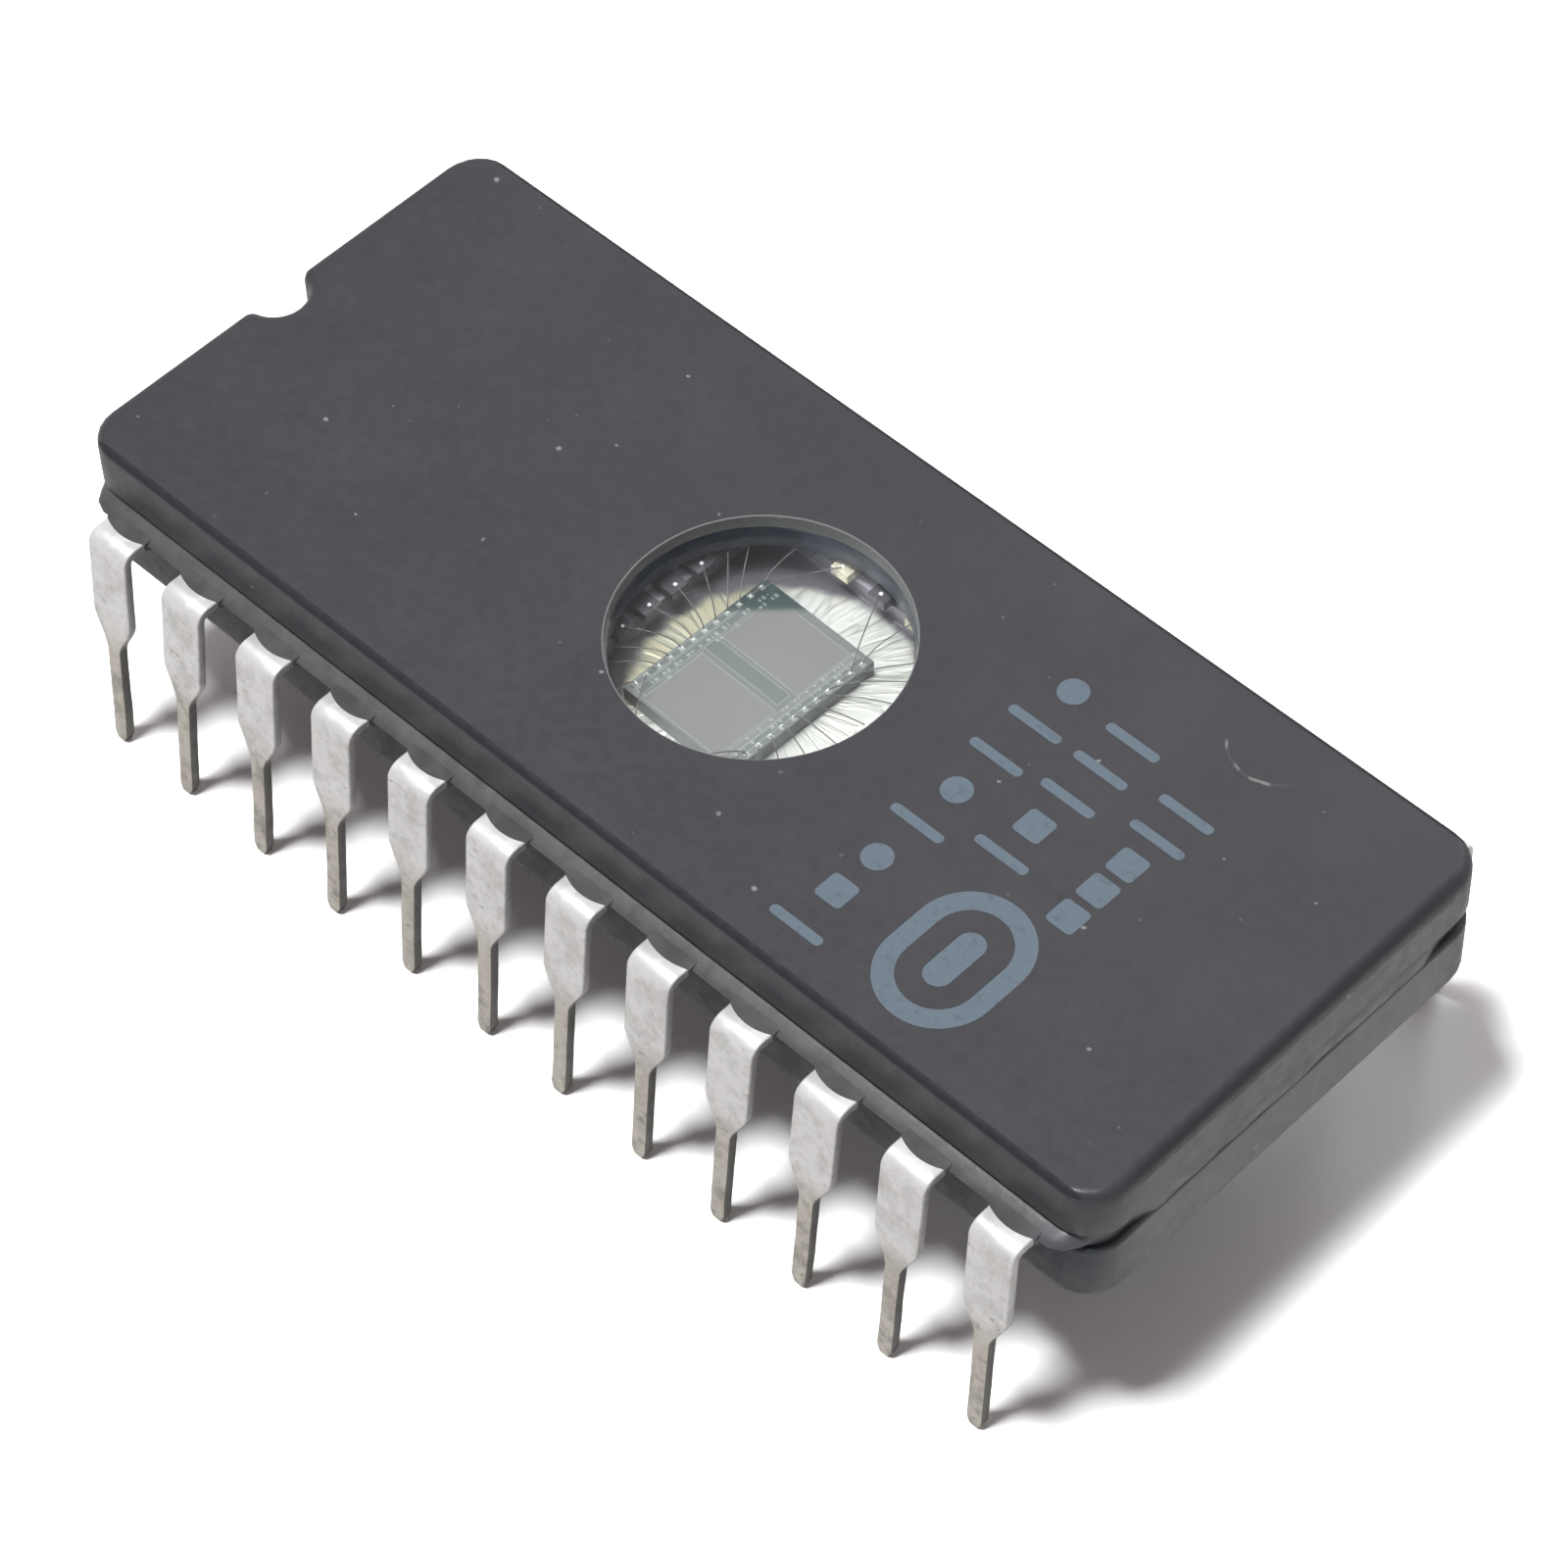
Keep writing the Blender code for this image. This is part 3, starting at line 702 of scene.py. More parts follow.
@dataclass(frozen=True)
class FoilFinish(Finish):
    """Bright fired metal of the cavity floor, crinkled like foil, with a gold tone towards the notch end and a painted
    shadow of the cap round the lit part.

    Attributes:
        gold: Colour towards the notch end.
        shade: Colour of the painted shadow of the cap, at the very end and in the far corner.
        crack: Colour of the creases.
        gold_from: Where the gold tone is full, along X.
        gold_to: Where it has gone.
        bright: Middle of the round part that the lamp lights through the window.
        dark_span: Distances from it where the painted shadow begins and is full.
    """

    gold: Color = (0.5, 0.47, 0.34)
    shade: Color = (0.12, 0.115, 0.135)
    crack: Color = (0.36, 0.37, 0.34)
    gold_from: float = -2.3 * MM
    gold_to: float = -1.2 * MM
    bright: Point = (0.55 * MM, -0.1 * MM, 0.0)
    dark_span: Pair = (3.35 * MM, 3.65 * MM)

    def paint(self, s: Surface) -> Value:
        """Add the gold tone, creases that fan out from the middle, and the painted shadow round the lit part.

        Args:
            s: The surface.

        Returns:
            Its colour.
        """
        s.set("Metallic", 0.75)
        x, y, _ = s.parts(s.place)
        fan = s.xyz(s.math("ARCTAN2", y, x) * (2.6 * MM), s.length(s.place) * 0.35)
        creases = s.creases(fan, 1300.0, 0.03)
        fine = s.creases(fan, 3400.0, 0.06)
        tone = s.blend(s.ramp(x, self.gold_to, self.gold_from), self.color, self.gold)
        tone = s.blend(creases * 0.6, tone, self.crack)
        tone = s.blend(fine * 0.2, tone, self.crack)
        # Painted shadow of the cap's bore on the floor, outside the lit round part; the relief fades in it.
        out_x, out_y, _ = s.parts(s.vector("SUBTRACT", s.place, self.bright))
        ragged = (s.noise(s.place, 1500.0) - 0.5) * (0.5 * MM)
        cap_shadow = s.ramp(s.length(s.xyz(out_x, out_y)) + ragged, *self.dark_span)
        height = s.noise(fan, 2600.0, 3.0, 0.5) + fine * 0.5 - creases * 0.9
        s.relief(height * (1.0 - cap_shadow), 0.04 * MM, 0.3)
        return s.blend(cap_shadow, tone, self.shade)


@dataclass(frozen=True)
class SiliconFinish(Finish):
    """Polished silicon with the fields of its circuit.

    Attributes:
        block: Colour of the two memory fields.
        strip: Colour of the strips between and beside them.
        line: Colour of the tracks round the fields.
        corner: Painted shadow of the cap on the die's corner towards the notch end and the far side.
        flank: Colour of its sawn sides.
    """

    block: Color = (0.208, 0.204, 0.203)
    strip: Color = (0.145, 0.165, 0.165)
    line: Color = (0.42, 0.45, 0.45)
    corner: Color = (0.034, 0.06, 0.064)
    flank: Color = (0.12, 0.128, 0.132)

    def fields(self) -> tuple[tuple[float, float, float, float, Color], ...]:
        """List the circuit's fields.

        Returns:
            Each field's middle and half sizes, in millimetres, and its colour.
        """
        return ((0.0, 1.18, 1.22, 0.84, self.block), (0.0, -1.24, 1.2, 0.92, self.block),
                (-0.1, 0.03, 1.2, 0.2, self.strip), (-1.4, 0.0, 0.1, 2.1, self.strip),
                (1.33, 0.0, 0.07, 2.12, self.block), (1.5, 0.0, 0.07, 2.12, self.strip),
                (-1.62, 0.0, 0.08, 2.15, self.strip))

    def paint(self, s: Surface) -> Value:
        """Add the fields, each with a thin track round it, the painted shadow on one corner, and the sides.

        Args:
            s: The surface.

        Returns:
            Its colour.
        """
        s.set("Metallic", 0.55)
        inputs = {"Vector": s.place, "Location": (*DIE_CENTER, 0.0), "Rotation": (0.0, 0.0, DIE_YAW)}
        local = s.get("ShaderNodeMapping", inputs, vector_type="TEXTURE")
        tone = self.color
        for x, y, half_x, half_y, inside in self.fields():
            inputs = {"Vector": local, "Center": (x * MM, y * MM, 0.0), "Half X": half_x * MM,
                      "Half Y": half_y * MM, "Line": 0.028 * MM}
            masks = s.add("ShaderNodeGroup", inputs, node_tree=s.effects.panel).outputs
            tone = s.blend(Value(s, masks["Mask"]), tone, inside)
            tone = s.blend(Value(s, masks["Outline"]) * 0.38, tone, self.line)
        x, y, _ = s.parts(local)
        # Painted shadow of the cap on the die's corner towards the notch end and the far side.
        tone = s.blend(s.ramp(y - x, 2.5 * MM, 2.85 * MM) * 0.95, tone, self.corner)
        return s.blend(s.ramp(s.facing()[2], 0.6, 0.4), tone, self.flank)


@dataclass(frozen=True)
class WindowFinish(Finish):
    """Clear glass that lets the light through to the die.

    Attributes:
        shade: Share of light that passes to what lies under it.
    """

    shade: Color = (0.93, 0.94, 0.93)

    def paint(self, s: Surface) -> Color:
        """Make the glass clear to light and to shadows.

        Args:
            s: The surface.

        Returns:
            Its colour.
        """
        s.set("Transmission Weight", 1.0)
        s.set("IOR", 1.46)
        s.set("Specular IOR Level", 0.08)
        clear = s.get("ShaderNodeBsdfTransparent", {"Color": self.shade})
        shadow = s.get("ShaderNodeLightPath", output="Is Shadow Ray")
        mix = s.get("ShaderNodeMixShader", {0: shadow, 1: Value(s, s.shader.outputs[0]), 2: clear})
        s.feed(s.tree.nodes["Material Output"].inputs["Surface"], mix)
        return self.color


@dataclass(frozen=True)
class InkFinish(Finish):
    """Printed ink, thin enough for the ceramic to show where it has worn.

    Attributes:
        thin: Colour where the ink is thin.
    """

    thin: Color = (0.1, 0.13, 0.16)

    def paint(self, s: Surface) -> Value:
        """Add the worn patches and a fine grain."""
        s.relief(s.noise(s.place, 14000.0, 3.0), 0.008 * MM, 0.5)
        return s.blend(s.clouds(3600.0, 0.5, 0.8), self.color, self.thin)


class Palette:
    """Every finish of the chip, made once."""

    def __init__(self) -> None:
        """Build the effects and the materials."""
        effects = Effects()
        self.cap = CapFinish("cap ceramic", (0.0455, 0.0437, 0.0535), 0.42).make(effects)
        # The base's end faces get a paler painted light.
        self.base = BaseFinish("base ceramic", (0.034, 0.042, 0.055), 0.45,
                               end_color=(0.165, 0.175, 0.175)).make(effects)
        self.seal = SealFinish("seal glass", (0.088, 0.086, 0.093), 0.36).make(effects)
        self.tin = TinFinish("tin plate", (0.87, 0.865, 0.85), 0.42).make(effects)
        # The fingers' dark main colour is painted shade under the cap.
        self.finger = FingerFinish("coated finger", (0.08, 0.077, 0.09), 0.4).make(effects)
        self.foil = FoilFinish("cavity metal", (0.66, 0.66, 0.635), 0.45).make(effects)
        self.silicon = SiliconFinish("silicon", (0.172, 0.184, 0.184), 0.3).make(effects)
        self.pad = MetalFinish("bond pad", (0.5, 0.53, 0.53), 0.35).make(effects)
        self.track = MetalFinish("circuit track", (0.35, 0.38, 0.38), 0.35).make(effects)
        # Bond wires painted dark and matt, standing in for the dark surroundings that they reflect.
        self.wire = MetalFinish("bond wire", (0.08, 0.08, 0.085), 0.6, metal=0.1).make(effects)
        # Bond balls partly metal and near white, so each shows as a bright dot: a painted glint.
        self.ball = MetalFinish("bond ball", (0.95, 0.95, 0.95), 0.3, metal=0.4).make(effects)
        self.window = WindowFinish("window glass", (0.97, 0.985, 0.98), 0.0).make(effects)
        self.ink = InkFinish("marking ink", (0.153, 0.205, 0.256), 0.6).make(effects)


# Meshes


def new_mesh(bm: bmesh.types.BMesh, name: str) -> Mesh:
    """Keep a bmesh as a mesh.

    Args:
        bm: The bmesh, which is freed.
        name: The mesh's name.

    Returns:
        The mesh.
    """
    mesh = bpy.data.meshes.new(name)
    bm.to_mesh(mesh)
    bm.free()
    return mesh


def add_piece(name: str, mesh: Mesh, material: Material | None = None) -> Piece:
    """Link a new piece at the origin.

    Args:
        name: The piece's name.
        mesh: Its mesh, in place.
        material: Its finish, where the mesh gets none later.

    Returns:
        The new object.
    """
    piece = bpy.data.objects.new(name, mesh)
    if material is not None:
        mesh.materials.clear()
        mesh.materials.append(material)
    bpy.context.scene.collection.objects.link(piece)
    return piece


def settle(piece: Piece, replaced: tuple[str, ...] = ()) -> None:
    """Put a finished piece on the chip's body.

    Args:
        piece: The piece.
        replaced: The frame's nodes that the piece stands for.
    """
    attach(piece, BODY)
    if replaced:
        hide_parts(*replaced)
    log.info("%s: %d faces", piece.name, len(piece.data.polygons))


def dress(node: str, material: Material) -> None:
    """Give a frame node its finish.

    Args:
        node: The node's name.
        material: The finish.
    """
    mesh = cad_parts[node].data
    mesh.materials.clear()
    mesh.materials.append(material)
    log.info("%s: %d faces", node, len(mesh.polygons))


def bake(piece: Piece) -> Piece:
    """Turn a piece into a plain mesh whose flat faces keep their shading beside rounded edges.

    Args:
        piece: The piece, with its modifiers.

    Returns:
        The same piece, without them.
    """
    piece.data.shade_smooth()
    modifier = piece.modifiers.new("even normals", "WEIGHTED_NORMAL")
    modifier.mode = "FACE_AREA"
    modifier.weight = 100
    modifier.keep_sharp = True
    bpy.context.view_layer.update()
    graph = bpy.context.evaluated_depsgraph_get()
    mesh = bpy.data.meshes.new_from_object(piece.evaluated_get(graph), depsgraph=graph)
    piece.modifiers.clear()
    piece.data = mesh
    return piece


def smooth_copy(node: str, name: str, material: Material, sharp: float = SHARP) -> Piece:
    """Make a smooth-shaded piece in a frame node's shape.

    Args:
        node: The node's name.
        name: The piece's name.
        material: Its finish.
        sharp: Angle from which edges stay sharp, in degrees.

    Returns:
        The piece, baked.
    """
    bm = bmesh.new()
    bm.from_mesh(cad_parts[node].data)
    bmesh.ops.remove_doubles(bm, verts=bm.verts, dist=DOUBLES)
    for edge in bm.edges:
        edge.smooth = len(edge.link_faces) == 2 and edge.calc_face_angle(0.0) < math.radians(sharp)
    return bake(add_piece(name, new_mesh(bm, name), material))


def turned(profile: list[Pair], center: Pair, steps: int) -> Mesh:
    """Turn a profile about an upright axis into a closed mesh.

    Args:
        profile: Radius and height pairs, bottom first; a radius of 0 closes an end.
        center: The axis.
        steps: Segments round.

    Returns:
        The mesh.
    """
    bm = bmesh.new()
    rings = []
    for radius, height in profile:
        angles = [math.tau * step / steps for step in range(steps if radius > 0.0 else 1)]
        rings.append([bm.verts.new((center[0] + radius * math.cos(angle), center[1] + radius * math.sin(angle),
                                    height)) for angle in angles])
    for low, high in zip(rings, rings[1:]):
        for step in range(steps):
            after = (step + 1) % steps
            corners = [low[step % len(low)], low[after % len(low)], high[after % len(high)], high[step % len(high)]]
            bm.faces.new(list(dict.fromkeys(corners)))
    bmesh.ops.recalc_face_normals(bm, faces=bm.faces)
    return new_mesh(bm, "turned")


def seat_mesh(points: list[Vector], **values: list[float]) -> Mesh:
    """Make a mesh of loose points that carry numbers.

    Args:
        points: The points.
        values: Attribute names to a number for each point.

    Returns:
        The mesh.
    """
    mesh = bpy.data.meshes.new("seats")
    mesh.from_pydata(points, [], [])
    for name, numbers in values.items():
        mesh.attributes.new(name, "FLOAT", "POINT").data.foreach_set("value", numbers)
    return mesh


def grow(name: str, tree: Tree, seats: Mesh, values: dict[str, object]) -> Piece:
    """Run a geometry tree on a mesh of seats and keep the result as a plain mesh.

    Args:
        name: The piece's name.
        tree: The tree.
        seats: The mesh that the tree starts from.
        values: Names of its inputs to their values.

    Returns:
        The piece, baked.
    """
    piece = add_piece(name, seats)
    modifier = piece.modifiers.new(name, "NODES")
    modifier.node_group = tree
    for item in tree.interface.items_tree:
        if item.in_out == "INPUT" and item.name in values:
            modifier[item.identifier] = values[item.name]
    return bake(piece)


# Geometry trees


class Grower(Group):
    """A geometry tree that starts from seats and ends in plain, dressed geometry."""

    def __init__(self, name: str, numbers: str, whole: str = "") -> None:
        """Start the tree.

        Args:
            name: Its name.
            numbers: Names of its inputs for sizes and shares.
            whole: Names of its inputs for whole numbers, where it has any.
        """
        counts = {"Int": whole} if whole else {}
        inputs = {"Geometry": "Seats", "Float": numbers} | counts | {"Material": "Material"}
        super().__init__(name, "GeometryNodeTree", inputs, {"Geometry": "Geometry"})

    def dressed(self, geometry: Value) -> Tree:
        """End the tree with real geometry in the piece's finish.

        Args:
            geometry: What the tree made.

        Returns:
            The tree.
        """
        real = self.get("GeometryNodeRealizeInstances", {"Geometry": geometry})
        return self.finish(self.get("GeometryNodeSetMaterial", {"Geometry": real, "Material": self["Material"]}))

    def on_seats(self, shape: Value, inputs: dict | None = None) -> Value:
        """Set a shape on every seat."""
        given = {"Points": self["Seats"], "Instance": shape}
        return self.get("GeometryNodeInstanceOnPoints", given | (inputs or {}))

    def turn(self, angle: Value) -> dict[str, Value]:
        """Return the input that turns a shape about Z."""
        return {"Rotation": self.xyz(0.0, 0.0, angle)}

    def attribute(self, name: str) -> Value:
        """Return a number that the seats carry."""
        return self.get("GeometryNodeInputNamedAttribute", {"Name": name})

    def moved(self, shape: Value, inputs: dict) -> Value:
        """Return a shape whose points are moved."""
        return self.get("GeometryNodeSetPosition", {"Geometry": shape} | inputs)

    def outline(self, width: Value, height: Value, radius: object, count: int, limit: bool = True) -> Value:
        """Return a rounded rectangle's curve, with count points in each corner."""
        sides = self.get("GeometryNodeCurvePrimitiveQuadrilateral", {"Width": width, "Height": height})
        return self.rounded(sides, radius, count, limit)

    def rounded(self, curve: Value, radius: object, count: int, limit: bool = False) -> Value:
        """Return a curve with rounded corners, whose radius may be limited by its sides."""
        inputs = {"Curve": curve, "Count": count, "Radius": radius, "Limit Radius": limit}
        return self.get("GeometryNodeFilletCurve", inputs, mode="POLY")

    def closed(self, shell: Value, face: Value) -> Value:
        """Close a raised shell with the flat face that it was raised from.

        Args:
            shell: The shell.
            face: The face, which is turned over.

        Returns:
            The closed solid.
        """
        both = self.add("GeometryNodeJoinGeometry")
        for part in (shell, self.get("GeometryNodeFlipFaces", {"Mesh": face})):
            self.feed(both.inputs[0], part)
        return self.get("GeometryNodeMergeByDistance", {"Geometry": Value(self, both.outputs[0]), "Distance": SEAM})

    def filled(self, curves: Value, thickness: Value) -> Value:
        """Return flat closed curves filled and thickened; one inside another leaves a hole."""
        face = self.get("GeometryNodeFillCurve", {"Curve": curves}, mode="NGONS")
        return self.closed(self.get("GeometryNodeExtrudeMesh", {"Mesh": face, "Offset Scale": thickness}), face)


def lead_tree() -> Tree:
    """Build the tree that bends, tapers and repeats the outer part of a lead.

    Returns:
        The tree. Its seats carry a turn about Z and a sideways drift of the tip.
    """
    g = Grower("lead rows", "Level, Inset, Reach, Bend Radius, Splay, Wide, Narrow, Thickness, Edge Radius, "
               "Narrow Height, Taper Height, Tip Height, Tip Share, Step, Waviness")
    level = g["Level"]
    corner_y = g["Reach"] + g["Bend Radius"] * g.math("TANGENT", (math.pi / 2 - g["Splay"]) / 2.0)
    root = g.xyz(0.0, g["Inset"] * -1.0, level)
    tip = g.xyz(0.0, corner_y + level * g.math("TANGENT", g["Splay"]), 0.0)
    index = g.get("GeometryNodeInputIndex")
    bent = g.xyz(0.0, corner_y, level)
    for number, point in ((0.0, root), (2.0, tip)):
        inputs = {0: g.math("COMPARE", index, number), 4: bent, 5: point}
        bent = g.get("ShaderNodeMix", inputs, 1, data_type="VECTOR")
    line = g.moved(g.get("GeometryNodeMeshLine", {"Count": 3}), {"Position": bent})
    path = g.rounded(g.get("GeometryNodeMeshToCurve", {"Mesh": line}), g["Bend Radius"], 16)
    path = g.get("GeometryNodeResampleCurve", {"Curve": path, "Length": g["Step"]}, mode="LENGTH")
    section = g.outline(g["Wide"], g["Thickness"], g["Edge Radius"], 3, limit=False)
    strip = g.get("GeometryNodeCurveToMesh", {"Curve": path, "Profile Curve": section, "Fill Caps": True})
    x, y, z = g.parts(g.get("GeometryNodeInputPosition"))
    above = g.math("DIVIDE", z - g["Narrow Height"], g["Taper Height"], clamp=True)
    flank = g.ramp(above, 0.0, 1.0) * 0.6 + above * 0.4
    least = g["Narrow"] / g["Wide"]
    in_tip = g.math("DIVIDE", z, g["Tip Height"], clamp=True)
    tip_width = g.get("ShaderNodeMapRange", {0: in_tip, 3: g["Tip Share"], 4: 1.0})
    width = (least + flank * (1.0 - least)) * tip_width
    lead = g.moved(strip, {"Position": g.xyz(x * width, y, z)})
    rows = g.on_seats(lead, g.turn(g.attribute("turn")))
    real = g.get("GeometryNodeRealizeInstances", {"Geometry": rows})
    point = g.get("GeometryNodeInputPosition")
    share = g.math("SUBTRACT", 1.0, g.parts(point)[2] / level, clamp=True)
    wave = g.get("ShaderNodeTexNoise", {"Vector": point, "Scale": 700.0, "Detail": 2.0}, "Color")
    wavy = g.vector("SCALE", g.vector("SUBTRACT", wave, (0.5, 0.5, 0.5)), g["Waviness"])
    drift = g.xyz(g.attribute("drift") * share)
    return g.dressed(g.moved(real, {"Offset": g.vector("ADD", g.vector("SCALE", wavy, share), drift)}))


def creep_tree() -> Tree:
    """Build the tree that lays a tongue of glass on the top of each lead.

    Returns:
        The tree. Its seats carry a turn about Z.
    """
    g = Grower("glass creep", "Half Width, Length, Back, Rise, Bluntness, Depth, Flare, Unevenness", "Seed")
    half, back = g["Half Width"], g["Back"]
    grid = g.get("GeometryNodeMeshGrid", {"Size X": 2.0, "Size Y": 1.0, "Vertices X": 21, "Vertices Y": 9})
    x, y, _ = g.parts(g.get("GeometryNodeInputPosition"))
    along = y + 0.5
    arch = g.math("POWER", g.math("SUBTRACT", 1.0, x * x, clamp=True), g["Bluntness"])
    reach = (back + g["Length"] * arch) * along - back
    kept = g.add("GeometryNodeCaptureAttribute", {"Geometry": grid})
    captured = {"slope": g.math("POWER", 1.0 - along, 1.2) * g["Rise"], "across": x * half}
    for index, (name, number) in enumerate(captured.items(), start=1):
        kept.capture_items.new("FLOAT", name)
        g.feed(kept.inputs[index], number)
    flared = x * (half + (1.0 - along) * g["Flare"])
    flat = g.moved(Value(g, kept.outputs[0]), {"Position": g.xyz(flared, reach, g["Depth"] * -1.0)})
    raised = g.add("GeometryNodeExtrudeMesh", {"Mesh": flat, "Offset Scale": g["Depth"], "Individual": False})
    _, after_y, after_z = g.parts(g.get("GeometryNodeInputPosition"))
    place = g.xyz(Value(g, kept.outputs[2]), after_y, after_z + Value(g, kept.outputs[1]))
    top = g.moved(Value(g, raised.outputs[0]), {"Selection": Value(g, raised.outputs[1]), "Position": place})
    uneven = {2: 1.0 - g["Unevenness"], 3: 1.0 + g["Unevenness"], 8: g["Seed"]}
    length = g.get("FunctionNodeRandomValue", uneven, 1, data_type="FLOAT")
    size = {"Scale": g.xyz(1.0, length, 1.0)}
    return g.dressed(g.on_seats(g.closed(top, flat), g.turn(g.attribute("turn")) | size))


def ball_tree() -> Tree:
    """Build the tree that sets a flattened ball of metal on each bond.

    Returns:
        The tree. Each seat gets one ball.
    """
    g = Grower("bond balls", "Radius, Flatness")
    ball = g.get("GeometryNodeMeshUVSphere", {"Segments": 12, "Rings": 7, "Radius": g["Radius"]})
    balls = g.on_seats(ball, {"Scale": g.xyz(1.0, 1.0, g["Flatness"])})
    return g.dressed(g.get("GeometryNodeSetShadeSmooth", {"Geometry": balls}))


def print_tree() -> Tree:
    """Build the tree that prints a row of simple solid shapes: bars, blocks and spots.

    Returns:
        The tree. Each seat gets one shape.
    """
    g = Grower("print row", "Mark Height, Stroke, Ink", "Seed")
    height, stroke = g["Mark Height"], g["Stroke"]
    block = height * 0.5
    shapes = ((height, stroke, stroke * 0.45), (block, block, block * 0.16), (block, block, block * 0.49))
    choice = g.add("GeometryNodeGeometryToInstance")
    for length, width, radius in shapes:
        g.feed(choice.inputs[0], g.filled(g.outline(length, width, radius, 5), g["Ink"]))
    pick = g.get("FunctionNodeRandomValue", {4: 0, 5: len(shapes) - 1, 8: g["Seed"]}, 2, data_type="INT")
    inputs = {"Pick Instance": True, "Instance Index": pick}
    return g.dressed(g.on_seats(Value(g, choice.outputs[0]), inputs))


def ring_tree() -> Tree:
    """Build the tree that prints a long ring round a solid bar.

    Returns:
        The tree. Its one seat is the middle of the ring.
    """
    g = Grower("print ring", "Width, Height, Band, Ink")
    loops = g.add("GeometryNodeJoinGeometry")
    for steps in (0.0, 2.0, 4.4):
        less = g["Band"] * steps
        width = g["Width"] - less
        g.feed(loops.inputs[0], g.outline(width, g["Height"] - less, width * 0.499, 16))
    return g.dressed(g.on_seats(g.filled(Value(g, loops.outputs[0]), g["Ink"])))


def field_tree() -> Tree:
    """Build the tree that fills a field with small plates on a grid, evenly or at random.

    Returns:
        The tree. Its one seat is the middle of the field.
    """
    g = Grower("plate field", "Pitch X, Pitch Y, Width, Height, Thickness, Least, Kept, Turn", "Columns, Rows, Seed")
    columns, rows, seed = g["Columns"], g["Rows"], g["Seed"]
    inputs = {"Size X": g["Pitch X"] * (columns - 1.0), "Size Y": g["Pitch Y"] * (rows - 1.0),
              "Vertices X": columns, "Vertices Y": rows}
    grid = g.get("GeometryNodeMeshGrid", inputs)
    tile = g.filled(g.outline(g["Width"], g["Height"], 0.004 * MM, 5), g["Thickness"])
    chance = g.get("FunctionNodeRandomValue", {6: g["Kept"], 8: seed}, 3, data_type="BOOLEAN")
    smallest = g.xyz(g["Least"], g["Least"], 1.0)
    size = g.get("FunctionNodeRandomValue", {0: smallest, 1: (1.0, 1.0, 1.0), 8: seed}, data_type="FLOAT_VECTOR")
    inputs = {"Points": grid, "Selection": chance, "Instance": tile, "Scale": size}
    return g.dressed(g.on_seats(g.get("GeometryNodeInstanceOnPoints", inputs), g.turn(g["Turn"])))


# Sub-assemblies


class Row(Enum):
    """The two rows of leads, by the side that they stand on."""

    NEAR = -1
    FAR = 1


